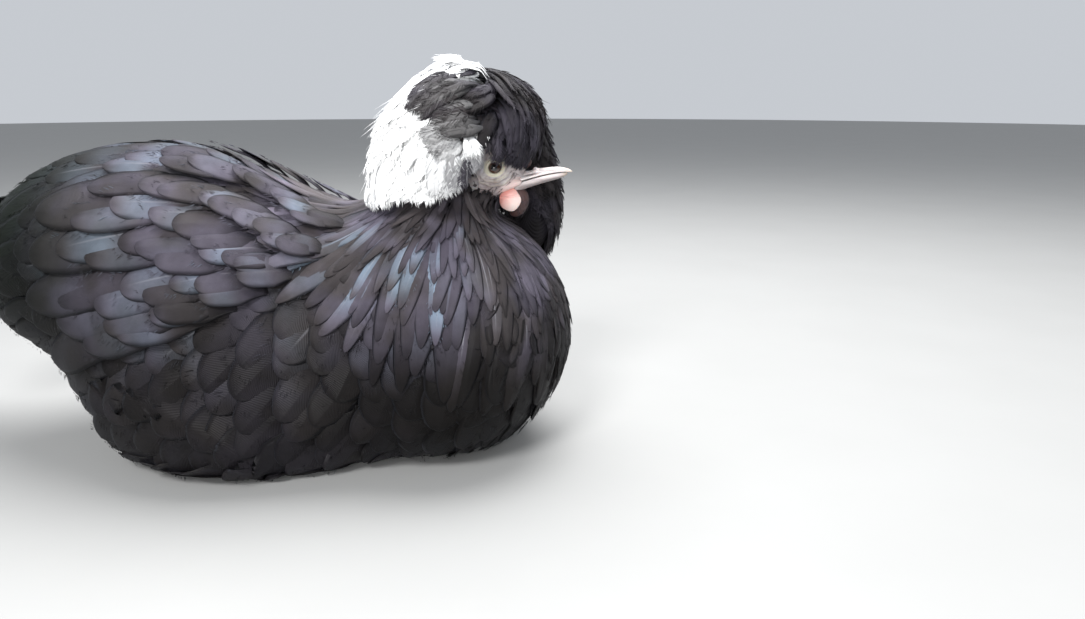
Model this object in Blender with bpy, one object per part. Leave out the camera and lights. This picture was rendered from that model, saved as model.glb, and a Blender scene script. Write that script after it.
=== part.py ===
"""A crested hen at rest, life size, for Blender 4.5. Metres, +Z up, the beak towards +X.

The bird sits with its legs folded under it. Its right side faces -Y. Each part that a person would
name is one closed object. The soft forms are ellipsoids blended into one another; their skin is found
by walking out along rays from the middle of a sphere, so a part and the cutter that keeps its
neighbour clear of it come from the same formula.
"""

import math

import bmesh
import bpy
import numpy as np
from mathutils import Matrix, Vector

# Driving sizes
SIDES = ((-1, "right"), (1, "left"))
GAP = 0.0003              # kept between parts that touch
FLOOR_CUT = -0.02         # how far cutters reach below the floor
BLEND = 0.020             # how softly the forms of the trunk run together

# The trunk: centre, radii and nose-up tilt in degrees of each form
BELLY = ((-0.012, 0.0, 0.066), (0.130, 0.104, 0.098), -6.0)
BREAST = ((0.099, 0.0, 0.074), (0.083, 0.088, 0.080), 0.0)
BACK = ((-0.070, 0.0, 0.118), (0.094, 0.080, 0.074), -6.0)
RUMP = ((-0.122, 0.0, 0.116), (0.070, 0.067, 0.063), 10.0)
NECK_LOW = (0.072, 0.0, 0.100)
NECK_TOP = (0.106, 0.0, 0.160)
NECK_RADII = (0.058, 0.024)
TRUNK_MIDDLE = (0.0, 0.0, 0.080)
TRUNK_MESH = (16, 28)     # rings and segments of the trunk and of its cutters

# The thin slanted cut that parts the neck from the torso
COLLAR_POINT = Vector((0.100, 0.0, 0.128))
COLLAR_TILT = math.radians(27)

# The head: skull, the bony knob under the crest, and the cheeks
SKULL = ((0.1300, 0.0, 0.1770), (0.0250, 0.0160, 0.0170), 8.0)
KNOB = ((0.1140, 0.0, 0.1890), (0.0210, 0.0175, 0.0170), 0.0)
CHEEK = ((0.1330, 0.0, 0.1700), (0.0170, 0.0135, 0.0110), 8.0)
HEAD_BLEND = 0.008
HEAD_MIDDLE = (0.124, 0.0, 0.180)
HEAD_MESH = (14, 20)

EYE_CENTRE = Vector((0.1372, 0.0122, 0.1775))
EYE_RADIUS = 0.0056
EYE_ROOM = 0.0098         # the crest keeps out of this round each eye, for the lids
LID_RADIUS = 0.0050       # of the opening between the lids
LID_THICK = 0.0011
LID_STAND_OFF = 0.0036
LID_NARROW = 0.86         # the height of the opening against its length
LID_STEPS = 12
LID_CORNERS = 4
EAR_CUP = ((0.1205, 0.0172, 0.1765), (0.0016, 0.0024, 0.0020), 0.0)
EARLOBE = ((0.1240, 0.0158, 0.1690), (0.0046, 0.0030, 0.0062), 0.0)
WATTLE = ((0.1462, 0.0095, 0.1585), (0.0066, 0.0028, 0.0070), -8.0)
MOUTH_CORNER = ((0.1450, 0.0120, 0.1664), (0.0060, 0.0040, 0.0006), 19.0)

EYE_FACING = (0.10, 0.97, 0.14)   # the direction in which the left eye looks

# The bill, measured along the line of the mouth, which climbs towards the tip
GAPE = Vector((0.1425, 0.0, 0.1655))
BILL_CLIMB = math.radians(19)
BILL_LENGTH = 0.0415
UPPER_HEIGHT = 0.0060
LOWER_DEPTH = 0.0052
BILL_WIDTH = 0.0140
HOOK = 0.0044
LOWER_SHORT = 0.003       # how much shorter the lower half is
LOWER_NARROW = 0.001      # and how much narrower
BILL_ARCS = 8             # sides of the half ellipse of a section
# Sections of the bill: share of its length, of its width, of the upper height and of the lower depth
BILL_SECTIONS = (
    (0.00, 1.00, 1.00, 1.00),
    (0.20, 0.87, 0.86, 0.97),
    (0.40, 0.71, 0.71, 0.90),
    (0.60, 0.55, 0.60, 0.82),
    (0.78, 0.41, 0.52, 0.70),
    (0.92, 0.26, 0.40, 0.46),
    (1.00, 0.08, 0.15, 0.12),
)
NOSTRIL_RADII = (0.0032, 0.0013, 0.0009)
NOSTRIL_TILT = 17.0
NOSTRIL_ALONG = 0.017
NOSTRIL_ACROSS = 0.0042
NOSTRIL_UP = 0.0026
COMB_BASE = ((0.1535, 0.0, 0.1800), (0.0050, 0.0042, 0.0040), 10.0)
HORN_RADII = (0.0022, 0.0017, 0.0006)

# The crest: rear mass, nape mass, brow mass, the lobe that falls past the far cheek, the near side
CREST_FORMS = (
    ((0.1118, 0.000, 0.1945), (0.0390, 0.055, 0.0448), -14.5),
    ((0.0807, -0.004, 0.1731), (0.0210, 0.046, 0.0363), -11.4),
    ((0.1378, 0.006, 0.2013), (0.0277, 0.045, 0.0284), -22.4),
    ((0.1539, 0.036, 0.1565), (0.0214, 0.018, 0.0472), 2.8),
    ((0.1030, -0.030, 0.1800), (0.0260, 0.024, 0.0340), 0.0),
)
CREST_BLEND = 0.016
CROWN = (0.114, 0.004, 0.195)
CREST_MESH = (8, 12)
CREST_CORE = 0.5          # how far the core reaches towards the outline
CREST_CLEAR = 0.0080      # how far the crest keeps off the trunk, over the hackle
FACE_CLEAR = 0.0010       # and off the bill, comb, wattles and earlobes

# How far from straight up the crest hangs, in degrees, at each bearing round the crown: 0 is over the
# beak, positive bearings go round by the bird's left
DRAPE = ((-180, 124), (-149, 122), (-118, 120), (-93, 121), (-88, 119), (-83, 115), (-79, 110),
         (-74, 103), (-69, 96), (-61, 99), (-50, 102), (-24, 106), (6, 110), (20, 130), (40, 150),
         (64, 128), (90, 114), (180, 124))
# Each tier of the crest: share of the drape, number of feathers, length as a lean in degrees
CREST_TIERS = ((0.30, 6, 44), (0.54, 9, 48), (0.77, 12, 52), (1.0, 16, 56))
CREST_WIDTH = 0.0095      # half the width of a crest feather
CREST_UNEVEN = (0.95, 1.02)   # range by which the lean of a feather's tip is scaled
CREST_WIDTHS = (0.90, 1.15)   # and the range for its width
CREST_SCATTER = 3         # degrees by which its bearing may differ from an even spacing
CREST_STEEPEST = -10      # how far past the crown the root of a feather may lie, in degrees
CREST_RISE = ((0.0, 0.35, 0.70, 1.0), (0.34, 0.74, 0.93, 1.0))  # share of length, share of the outline

# Feathers: share of the length at each cross section, and the share of the width there
POINTED = ((0.0, 0.30), (0.28, 0.72), (0.58, 1.00), (0.84, 0.66))
ROUNDED = ((0.0, 0.28), (0.32, 0.68), (0.68, 1.00), (0.92, 0.66))
SHORT = ((0.0, 0.40), (0.48, 1.00), (0.88, 0.72))
VANE_THICK = 0.0010       # through the ridge of the shaft
VANE_CAMBER = 0.08        # how far the edges bend down, against half the width
VANE_TILT = math.radians(7)  # each feather lies over one neighbour and under the other, as louvres do
ROOT_SINK = 0.0022        # how deep a feather starts under the surface it grows from
RISE_BEND = (0.3, 0.6)    # at this share of the length a feather has this share of its tip's height

# The hackle: lean of the roots from the axis of the neck, number, length, half width, height of the tips
HACKLE_TIERS = (
    (70, 18, 0.110, 0.0160, 0.0034),
    (57, 14, 0.074, 0.0135, 0.0046),
    (44, 11, 0.046, 0.0110, 0.0058),
)
HACKLE_FRONT = 0.35       # how much shorter the hackle is over the breast
HACKLE_SOURCE = np.array((0.112, 0.0, 0.185))

# Wings, tail and thighs
WING = ((-0.022, 0.080, 0.135), (0.070, 0.040, 0.034), 14.0)
WING_CORE = 0.0035        # how far the core of the folded wing stands out of the flank
WING_PROUD = 0.0085       # how far its feathers do
WING_BLEND = 0.016        # how softly the wing runs into the flank under the hackle
WING_FAN = 0.05           # how far the feathers of a row spread, against their length
WING_BOW = 0.016          # how far the middle of a row stands forward of its ends
WING_LINE = math.radians(14)
WING_MESH = (8, 12)
# Each tier of the wing, from the shoulder back: distance behind the front of the wing, number, height
# of the row, length, half width, height of the tips over the flank, outline
WING_TIERS = (
    (0.086, 6, 0.056, 0.104, 0.0132, 0.0056, ROUNDED),
    (0.062, 6, 0.054, 0.056, 0.0120, 0.0062, SHORT),
    (0.042, 5, 0.048, 0.038, 0.0115, 0.0068, SHORT),
    (0.024, 4, 0.040, 0.030, 0.0105, 0.0074, SHORT),
    (0.008, 3, 0.030, 0.026, 0.0095, 0.0080, SHORT),
)
TAIL_CORE = ((-0.165, 0.0, 0.134), (0.038, 0.026, 0.026), 26.0)
TAIL_ROOT = np.array((-0.152, 0.0, 0.140))
TAIL_FALL = math.radians(27)
TAIL_LENGTH = 0.095
TAIL_OPEN = (0.016, 0.036)    # how far the feathers stand from the middle at the root and at the tip
TAIL_FLARE = 0.8          # below 1 the tail opens early, above 1 late
TAIL_FIRST = 6            # degrees from straight up to the uppermost pair
TAIL_ROUND = 0.12         # how much shorter the outermost feathers are
TAIL_NEST = 0.0006        # how much closer to the middle each next feather lies
# Tail feathers, then the coverts over their roots: number on each side, length, half width, distance
# from the middle against the tail feathers', degrees from straight up to the outermost, outline
TAIL_ROWS = (
    (6, TAIL_LENGTH, 0.0125, 1.0, 122, POINTED),
    (4, TAIL_LENGTH * 0.60, 0.0120, 1.26, 104, ROUNDED),
)
THIGH = ((-0.040, 0.078, 0.030), (0.056, 0.034, 0.044), 0.0)
THIGH_PROUD = 0.005       # how far the thigh stands out of the flank
THIGH_MESH = (8, 12)

# Legs, folded on the floor under the belly
HOCK = Vector((-0.078, 0.050, 0.0100))
ANKLE = Vector((-0.004, 0.036, 0.0070))
SHANK_RADIUS = 0.0055
TOE_RADIUS = 0.0038
RECESS_MESH = (7, 12)
FLAT_DEPTH = 0.0004       # how much of the toes and claws is cut off flat at the floor
TOE_ARCH = 0.0015
CLAW_LENGTH = 0.010
CLAW_ROOT = 0.72          # thickness of the claw's root against the end of its toe
CLAW_TIP = 0.0004
TOES = (("middle", 4, 0.042), ("inner", -28, 0.028), ("outer", 30, 0.031), ("rear", -138, 0.013))

COLOURS = {
    "black_plumage": ((0.012, 0.012, 0.014), 0.45),
    "white_plumage": ((0.86, 0.86, 0.84), 0.65),
    "face_skin": ((0.21, 0.18, 0.17), 0.60),
    "bill_horn": ((0.62, 0.50, 0.47), 0.35),
    "wattle_skin": ((0.72, 0.26, 0.22), 0.45),
    "eye_brown": ((0.05, 0.025, 0.012), 0.06),
    "slate_scale": ((0.10, 0.11, 0.13), 0.50),
    "claw_horn": ((0.30, 0.27, 0.24), 0.35),
}


def clear_scene():
    for item in list(bpy.data.objects):
        bpy.data.objects.remove(item)
    for group in list(bpy.data.collections):
        bpy.data.collections.remove(group)


def collection(name):
    """The collection of this name, made the first time it is asked for."""
    group = bpy.data.collections.get(name)
    if not group:
        group = bpy.data.collections.new(name)
        bpy.context.scene.collection.children.link(group)
    return group


def ellipsoid(points, form, side=1.0):
    """Roughly how far points lie outside a tilted ellipsoid, in metres."""
    centre, radii, tilt = form
    offset = points - np.array(centre) * (1.0, side, 1.0)
    angle = math.radians(tilt)
    along = offset[:, 0] * math.cos(angle) + offset[:, 2] * math.sin(angle)
    above = offset[:, 2] * math.cos(angle) - offset[:, 0] * math.sin(angle)
    scaled = np.stack([along, offset[:, 1], above], 1) / radii
    reach = np.linalg.norm(scaled, axis=1)
    return reach * (reach - 1) / np.maximum(np.linalg.norm(scaled / radii, axis=1), 1e-9)


def blended(first, second, softness):
    share = np.clip(0.5 + 0.5 * (second - first) / softness, 0, 1)
    return second + (first - second) * share - softness * share * (1 - share)


def neck_cone(points):
    low, top = np.array(NECK_LOW), np.array(NECK_TOP)
    share = np.clip((points - low) @ (top - low) / ((top - low) @ (top - low)), 0, 1)
    radius = NECK_RADII[0] + (NECK_RADII[1] - NECK_RADII[0]) * share
    return np.linalg.norm(points - low - share[:, None] * (top - low), axis=1) - radius


def trunk(points):
    distance = ellipsoid(points, BELLY)
    for form in (BREAST, BACK, RUMP):
        distance = blended(distance, ellipsoid(points, form), BLEND)
    return blended(distance, neck_cone(points), BLEND)


def head(points):
    distance = blended(ellipsoid(points, SKULL), ellipsoid(points, KNOB), HEAD_BLEND)
    return blended(distance, ellipsoid(points, CHEEK), HEAD_BLEND)


def crest(points):
    distance = ellipsoid(points, CREST_FORMS[0])
    for form in CREST_FORMS[1:]:
        distance = blended(distance, ellipsoid(points, form), CREST_BLEND)
    return distance


def reach_along(middle, directions, distance, level):
    """How far along each direction the surface at this level lies, by halving the step 40 times."""
    near = np.zeros(len(directions))
    far = np.full(len(directions), 0.5)
    for _ in range(40):
        half = (near + far) / 2
        inside = distance(middle + half[:, None] * directions) < level
        near = np.where(inside, half, near)
        far = np.where(inside, far, half)
    return near


def slope_of(distance, points):
    """The unit direction in which the distance grows fastest at each point."""
    step = 0.0005
    change = [distance(points + axis * step) - distance(points - axis * step) for axis in np.eye(3)]
    slope = np.stack(change, 1)
    return slope / np.linalg.norm(slope, axis=1, keepdims=True)


def settled(points, distance, level):
    """Points moved along the slope until they lie at the level, in six short corrections."""
    for _ in range(6):
        points = points - (distance(points) - level)[:, None] * slope_of(distance, points)
    return points


def trails(distance, starts, heading, lengths, shares, levels):
    """Paths over a form. At each step the heading is laid flat on the surface at that point, and the
    new point is settled at the level that the feather has there."""
    points = settled(starts, distance, levels[:, 0])
    paths = [points]
    for number in range(1, len(shares)):
        slope = slope_of(distance, points)
        flow = heading(points)
        flow = flow - np.sum(flow * slope, axis=1, keepdims=True) * slope
        flow = flow / np.linalg.norm(flow, axis=1, keepdims=True)
        stride = (shares[number] - shares[number - 1]) * lengths[:, None]
        points = settled(points + flow * stride, distance, levels[:, number])
        paths.append(points)
    return np.stack(paths, 1)


def made_object(name, mesh, colour=None):
    """A part, if it has a colour, goes with the bird, and anything else goes with the cutters."""
    piece = bpy.data.objects.new(name, mesh)
    collection("crested_hen" if colour else "cutters").objects.link(piece)
    if colour:
        mesh.materials.append(plumage_or_skin(colour))
        mesh.shade_smooth()
    return piece


def plumage_or_skin(colour):
    material = bpy.data.materials.get(colour)
    if material:
        return material
    base, roughness = COLOURS[colour]
    material = bpy.data.materials.new(colour)
    material.use_nodes = True
    shader = material.node_tree.nodes["Principled BSDF"]
    shader.inputs["Base Color"].default_value = (*base, 1)
    shader.inputs["Roughness"].default_value = roughness
    return material


def form_solid(name, middle, distance, colour=None, level=0.0, rings=24, segments=40, floor=0.0):
    """A sphere, poles along X, whose points are moved out to the surface and no lower than the floor."""
    sphere = bmesh.new()
    bmesh.ops.create_uvsphere(sphere, u_segments=segments, v_segments=rings, radius=1)
    bmesh.ops.rotate(sphere, verts=sphere.verts, matrix=Matrix.Rotation(math.pi / 2, 3, "Y"))
    bmesh.ops.triangulate(sphere, faces=sphere.faces)
    directions = np.array([point.co.normalized() for point in sphere.verts])
    middle = np.array(middle)
    reach = reach_along(middle, directions, distance, level)
    sinking = directions[:, 2] < -1e-6
    to_floor = (floor - middle[2]) / np.where(sinking, directions[:, 2], -1)
    reach = np.where(sinking, np.minimum(reach, to_floor), reach)
    for point, place in zip(sphere.verts, middle + reach[:, None] * directions):
        point.co = place
    mesh = bpy.data.meshes.new(name)
    sphere.to_mesh(mesh)
    sphere.free()
    return made_object(name, mesh, colour)


def ellipsoid_solid(
    name, form, colour=None, side=1.0, grow=0.0, rings=12, segments=20, floor=FLOOR_CUT
):
    """One ellipsoid form as a solid, grown outwards by a small amount for a cutter."""
    centre, radii, tilt = form
    middle = np.array(centre) * (1, side, 1)
    grown = (tuple(middle), tuple(radius + grow for radius in radii), tilt)
    return form_solid(
        name, middle, lambda points: ellipsoid(points, grown), colour, 0.0, rings, segments, floor
    )


def evaluated_mesh(piece):
    bpy.context.view_layer.update()
    graph = bpy.context.evaluated_depsgraph_get()
    return bpy.data.meshes.new_from_object(piece.evaluated_get(graph))


def combine(piece, other, operation, keep_other=False):
    """Applies one Boolean of piece with another object, then keeps the largest closed surface."""
    modifier = piece.modifiers.new(operation.lower(), "BOOLEAN")
    modifier.operation = operation
    modifier.solver = "EXACT"
    modifier.object = other
    mesh = evaluated_mesh(piece)
    piece.modifiers.clear()
    mesh.name = piece.name
    piece.data = mesh
    if not keep_other:
        bpy.data.objects.remove(other)
    keep_largest(piece)
    return piece


def keep_largest(piece):
    """Deletes every closed surface of the mesh but the one with the largest volume."""
    work = bmesh.new()
    work.from_mesh(piece.data)
    left, shells = set(work.verts), []
    while left:
        stack, shell = [left.pop()], []
        while stack:
            vertex = stack.pop()
            shell.append(vertex)
            for edge in vertex.link_edges:
                other = edge.other_vert(vertex)
                if other in left:
                    left.remove(other)
                    stack.append(other)
        shells.append(shell)
    if len(shells) > 1:
        shells.sort(key=shell_volume)
        for shell in shells[:-1]:
            bmesh.ops.delete(work, geom=shell, context="VERTS")
        work.to_mesh(piece.data)
    work.free()


def shell_volume(shell):
    """The volume that one closed surface holds, as the sum of the wedges from the origin to its faces."""
    faces = {face for vertex in shell for face in vertex.link_faces}
    total = 0.0
    for face in faces:
        first, *rest = [loop.vert.co for loop in face.loops]
        for second, third in zip(rest, rest[1:]):
            total += first.dot(second.cross(third)) / 6
    return total


def clear_of(piece, others, gap=GAP):
    """Cuts from piece a copy of each other part, swollen along its normals by the gap."""
    for other in others:
        swollen = made_object("swollen", other.data.copy())
        swell = swollen.modifiers.new("swell", "DISPLACE")
        swell.mid_level = 0
        swell.strength = gap
        swollen.data = evaluated_mesh(swollen)
        swollen.modifiers.clear()
        combine(piece, swollen, "DIFFERENCE")
    return piece


def sphere_solid(name, centre, radius, colour=None, segments=12, rings=8):
    ball = bmesh.new()
    bmesh.ops.create_uvsphere(ball, u_segments=segments, v_segments=rings, radius=radius)
    bmesh.ops.translate(ball, verts=ball.verts, vec=centre)
    mesh = bpy.data.meshes.new(name)
    ball.to_mesh(mesh)
    ball.free()
    return made_object(name, mesh, colour)


def mirrored(place, side):
    return Vector((place[0], place[1] * side, place[2]))


def trunk_cutter(level=GAP):
    return form_solid("trunk_cutter", TRUNK_MIDDLE, trunk, None, level, *TRUNK_MESH, FLOOR_CUT)


def head_cutter():
    return form_solid("head_cutter", HEAD_MIDDLE, head, None, GAP, *HEAD_MESH)


def half_space(name, point, tilt, above):
    """A large block whose face passes through point; above tells which side of the plane it fills."""
    size = 0.6
    block = bmesh.new()
    bmesh.ops.create_cube(block, size=size)
    lift = size / 2 if above else -size / 2
    bmesh.ops.translate(block, verts=block.verts, vec=(0, 0, lift))
    bmesh.ops.rotate(block, verts=block.verts, matrix=Matrix.Rotation(tilt, 3, "Y"))
    bmesh.ops.translate(block, verts=block.verts, vec=point)
    mesh = bpy.data.meshes.new(name)
    block.to_mesh(mesh)
    block.free()
    return made_object(name, mesh)


def tube(name, points, radii, sides=6, colour=None):
    """A round tube through points, one ring of its radius at each, closed at both ends."""
    bm = bmesh.new()
    rings = []
    points = [Vector(point) for point in points]
    for number, (point, radius) in enumerate(zip(points, radii)):
        before = points[max(number - 1, 0)]
        after = points[min(number + 1, len(points) - 1)]
        turn = (after - before).to_track_quat("Z", "Y")
        rings.append([
            bm.verts.new(point + turn @ Vector((
                radius * math.cos(2 * math.pi * step / sides),
                radius * math.sin(2 * math.pi * step / sides),
                0,
            )))
            for step in range(sides)
        ])
    for ring, following in zip(rings, rings[1:]):
        for step in range(sides):
            beside = (step + 1) % sides
            bm.faces.new((ring[step], ring[beside], following[beside], following[step]))
    bm.faces.new(list(reversed(rings[0])))
    bm.faces.new(rings[-1])
    bmesh.ops.triangulate(bm, faces=bm.faces)
    mesh = bpy.data.meshes.new(name)
    bm.to_mesh(mesh)
    bm.free()
    return made_object(name, mesh, colour)


def loft(name, rings, colour=None):
    """A closed skin over rings of equally many points, with a flat cap at each end."""
    bm = bmesh.new()
    made = [[bm.verts.new(point) for point in ring] for ring in rings]
    count = len(made[0])
    for ring, following in zip(made, made[1:]):
        for step in range(count):
            beside = (step + 1) % count
            bm.faces.new((ring[step], ring[beside], following[beside], following[step]))
    bm.faces.new(list(reversed(made[0])))
    bm.faces.new(made[-1])
    bmesh.ops.recalc_face_normals(bm, faces=bm.faces)
    bmesh.ops.triangulate(bm, faces=bm.faces)
    mesh = bpy.data.meshes.new(name)
    bm.to_mesh(mesh)
    bm.free()
    return made_object(name, mesh, colour)


def make_torso():
    torso = form_solid("torso", TRUNK_MIDDLE, trunk, "black_plumage", 0.0, *TRUNK_MESH)
    normal = Vector((math.sin(COLLAR_TILT), 0, math.cos(COLLAR_TILT)))
    above = half_space("collar_cut", COLLAR_POINT - normal * GAP / 2, COLLAR_TILT, True)
    combine(torso, above, "DIFFERENCE")
    for side in (-1, 1):
        combine(torso, ellipsoid_solid("thigh_cut", THIGH, None, side, GAP, *THIGH_MESH), "DIFFERENCE")
        combine(torso, foot_recess(side), "DIFFERENCE")
    return torso


def vane(path, slopes, half_width, outline, tilt=VANE_TILT):
    """A closed feather blade: four-cornered sections along the path, pointed at the tip, turned by the
    tilt about the shaft. Both faces are split along the same diagonals, so they stay apart where the
    blade curves."""
    tangents = np.gradient(path, axis=0)
    across = np.cross(slopes, tangents)
    across = across / np.linalg.norm(across, axis=1, keepdims=True)
    lift = np.cross(tangents, across)
    lift = lift / np.linalg.norm(lift, axis=1, keepdims=True)
    across = across * math.cos(tilt) + lift * math.sin(tilt)
    points = []
    for number, (_, share) in enumerate(outline):
        side = across[number] * half_width * share
        drop = lift[number] * half_width * share * VANE_CAMBER
        ridge = lift[number] * VANE_THICK / 2
        middle = path[number]
        points += [middle - side - drop, middle + ridge, middle + side - drop, middle - ridge]
    tip = len(points)
    points.append(path[-1])
    faces = [(0, 1, 2), (0, 2, 3)]
    for start in range(0, tip - 4, 4):
        left, top, right, under = range(start, start + 4)
        left_on, top_on, right_on, under_on = range(start + 4, start + 8)
        faces += [(left, left_on, top_on), (left, top_on, top)]
        faces += [(left, under_on, left_on), (left, under, under_on)]
        faces += [(right, top_on, right_on), (right, top, top_on)]
        faces += [(right, right_on, under_on), (right, under_on, under)]
    left, top, right, under = range(tip - 4, tip)
    faces += [(left, tip, top), (top, tip, right), (right, tip, under), (under, tip, left)]
    mesh = bpy.data.meshes.new("vane")
    mesh.from_pydata([tuple(point) for point in points], [], faces)
    work = bmesh.new()
    work.from_mesh(mesh)
    bmesh.ops.recalc_face_normals(work, faces=work.faces)
    work.to_mesh(mesh)
    work.free()
    return made_object("vane", mesh)


def fuse(core, vanes):
    """Joins a node's core and its feathers by one union on a collection, and removes the feathers.
    Where so many thin feathers cross, the manifold solver is the one that leaves a closed mesh."""
    group = bpy.data.collections.new("vanes")
    for blade in vanes:
        group.objects.link(blade)
    modifier = core.modifiers.new("fuse", "BOOLEAN")
    modifier.operation = "UNION"
    modifier.solver = "MANIFOLD"
    modifier.operand_type = "COLLECTION"
    modifier.collection = group
    mesh = evaluated_mesh(core)
    core.modifiers.clear()
    mesh.name = core.name
    core.data = mesh
    for blade in vanes:
        bpy.data.objects.remove(blade)
    bpy.data.collections.remove(group)
    keep_largest(core)
    return core


def shares_of(outline):
    return [share for share, _ in outline] + [1.0]


def rising(count, shares, tip_height, sink):
    """The height of each feather over its form: sunk at the root, then rising to the tip's height."""
    bend, part = RISE_BEND
    profile = np.interp(shares, (0.0, bend, 1.0), (-sink, tip_height * part, tip_height))
    return np.tile(profile, (count, 1))


def mantle(points):
    """The trunk with the folded wings on it, which the hackle lies over."""
    distance = trunk(points)
    for side in (-1, 1):
        wing = np.maximum(ellipsoid(points, WING, side), trunk(points) - WING_PROUD)
        distance = blended(distance, wing, WING_BLEND)
    return distance


def hackle():
    """Tiers of pointed feathers that run down and back from the top of the neck on every side."""
    tilt = Matrix.Rotation(COLLAR_TILT, 3, "Y")
    blades = []
    for tier, (lean, count, length, half_width, height) in enumerate(HACKLE_TIERS):
        bearing = 2 * math.pi * (np.arange(count) + 0.5 * (tier % 2)) / count
        slant = math.radians(lean)
        rays = np.stack([
            np.cos(bearing) * math.sin(slant),
            np.sin(bearing) * math.sin(slant),
            np.full(count, math.cos(slant)),
        ], 1) @ np.array(tilt).T
        reach = reach_along(np.array(COLLAR_POINT), rays, trunk, 0.0)
        starts = np.array(COLLAR_POINT) + reach[:, None] * rays
        lengths = length * (1 - HACKLE_FRONT * np.clip(np.cos(bearing), 0, 1))
        shares = shares_of(POINTED)
        levels = rising(count, shares, height, ROOT_SINK)
        paths = trails(mantle, starts, lambda points: points - HACKLE_SOURCE, lengths, shares, levels)
        for path in paths:
            blades.append(vane(path, slope_of(trunk, path), half_width, POINTED))
    return blades


def wing_feathers(side):
    """Tiers of flight feathers and coverts along the folded wing, the hindmost lowest."""
    front = np.array(WING[0]) + WING[1][0] * np.array((math.cos(WING_LINE), 0, math.sin(WING_LINE)))
    back = np.array((-math.cos(WING_LINE), 0, -math.sin(WING_LINE)))
    upward = np.array((-math.sin(WING_LINE), 0, math.cos(WING_LINE)))
    blades = []
    for behind, count, row, length, half_width, height, outline in WING_TIERS:
        spread = np.linspace(-0.5, 0.5, count)
        bow = WING_BOW * (1 - 4 * spread**2)
        places = front + (behind - bow)[:, None] * back + (spread * row)[:, None] * upward
        places[:, 1] = 0
        sideways = np.tile((0.0, float(side), 0.0), (count, 1))
        starts = places + reach_along(places, sideways, trunk, 0.0)[:, None] * sideways
        fanned = back + WING_FAN * spread[:, None] * upward
        shares = shares_of(outline)
        levels = rising(count, shares, height, -WING_CORE / 2)
        paths = trails(trunk, starts, lambda points: fanned, np.full(count, length), shares, levels)
        for path in paths:
            blades.append(vane(path, slope_of(trunk, path), half_width, outline, -side * VANE_TILT))
    return blades


def tail_feathers():
    """A drooping tent of long feathers, the middle pair on top, and the coverts over their roots."""
    along = np.array((-math.cos(TAIL_FALL), 0, -math.sin(TAIL_FALL)))
    upward = np.array((-math.sin(TAIL_FALL), 0, math.cos(TAIL_FALL)))
    sideways = np.array((0.0, 1.0, 0.0))
    root_open, tip_open = TAIL_OPEN
    blades = []
    for count, length, half_width, scale, outermost, outline in TAIL_ROWS:
        shares = np.array(shares_of(outline))
        flare = (shares * length / TAIL_LENGTH) ** TAIL_FLARE
        opening = scale * (root_open + (tip_open - root_open) * flare)
        for side in (-1, 1):
            for number in range(count):
                turn = math.radians(np.interp(number, (0, count - 1), (TAIL_FIRST, outermost)))
                outward = side * math.sin(turn) * sideways + math.cos(turn) * upward
                reach = length * (1 - TAIL_ROUND * (number / count) ** 2)
                away = opening - TAIL_NEST * number
                path = TAIL_ROOT + along * reach * shares[:, None] + outward * away[:, None]
                slopes = np.tile(outward, (len(path), 1))
                blades.append(vane(path, slopes, half_width, outline, -side * VANE_TILT))
    return blades


def drape(bearing):
    """How far from straight up the crest hangs at a bearing, in degrees."""
    bearings, leans = zip(*DRAPE)
    return np.interp((bearing + 180) % 360 - 180, bearings, leans)


def crest_feathers():
    """Tiers of long feathers that rise from the crown, arch over and hang on every side."""
    middle = np.array(CROWN)
    draw = np.random.default_rng(5)
    blades = []
    for tier, (share, count, span) in enumerate(CREST_TIERS):
        for number in range(count):
            bearing = 360 * (number + 0.5 * (tier % 2)) / count - 180
            bearing += draw.uniform(-CREST_SCATTER, CREST_SCATTER)
            tip_lean = drape(bearing) * share * draw.uniform(*CREST_UNEVEN)
            shares = np.array(shares_of(ROUNDED))
            lean = np.radians(np.maximum(tip_lean - span * (1 - shares), CREST_STEEPEST))
            turn = math.radians(bearing)
            rays = np.stack([np.cos(turn) * np.sin(lean), np.sin(turn) * np.sin(lean), np.cos(lean)], 1)
            envelope = reach_along(middle, rays, crest, 0.0)
            depth = np.interp(shares, *CREST_RISE)
            path = middle + (envelope * depth)[:, None] * rays
            slopes = slope_of(crest, middle + envelope[:, None] * rays)
            half_width = CREST_WIDTH * draw.uniform(*CREST_WIDTHS)
            blades.append(vane(path, slopes, half_width, ROUNDED))
    return blades


def make_neck(others):
    neck = form_solid("neck", TRUNK_MIDDLE, trunk, "black_plumage", 0.0, *TRUNK_MESH)
    normal = Vector((math.sin(COLLAR_TILT), 0, math.cos(COLLAR_TILT)))
    below = half_space("collar_cut", COLLAR_POINT + normal * GAP / 2, COLLAR_TILT, False)
    combine(neck, below, "DIFFERENCE")
    fuse(neck, hackle())
    combine(neck, head_cutter(), "DIFFERENCE")
    return clear_of(neck, others)


def make_thigh(side, name, shank):
    thigh = ellipsoid_solid(name, THIGH, "black_plumage", side, 0.0, *THIGH_MESH, 0.0)
    combine(thigh, trunk_cutter(THIGH_PROUD), "INTERSECT")
    return clear_of(thigh, (shank,))


def foot_recess(side):
    """The hollow under the belly that the shank and toes lie in."""
    middle = (HOCK + ANKLE) / 2
    forms = (
        ((middle.x - 0.002, middle.y, 0.004), (0.072, 0.0190, 0.0215), 0.0),
        ((0.013, 0.0365, 0.0), (0.049, 0.0315, 0.0160), 0.0),
    )
    recess = ellipsoid_solid("recess", forms[0], None, side, 0.0, *RECESS_MESH)
    return combine(recess, ellipsoid_solid("recess_toes", forms[1], None, side, 0.0, *RECESS_MESH), "UNION")


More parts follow.
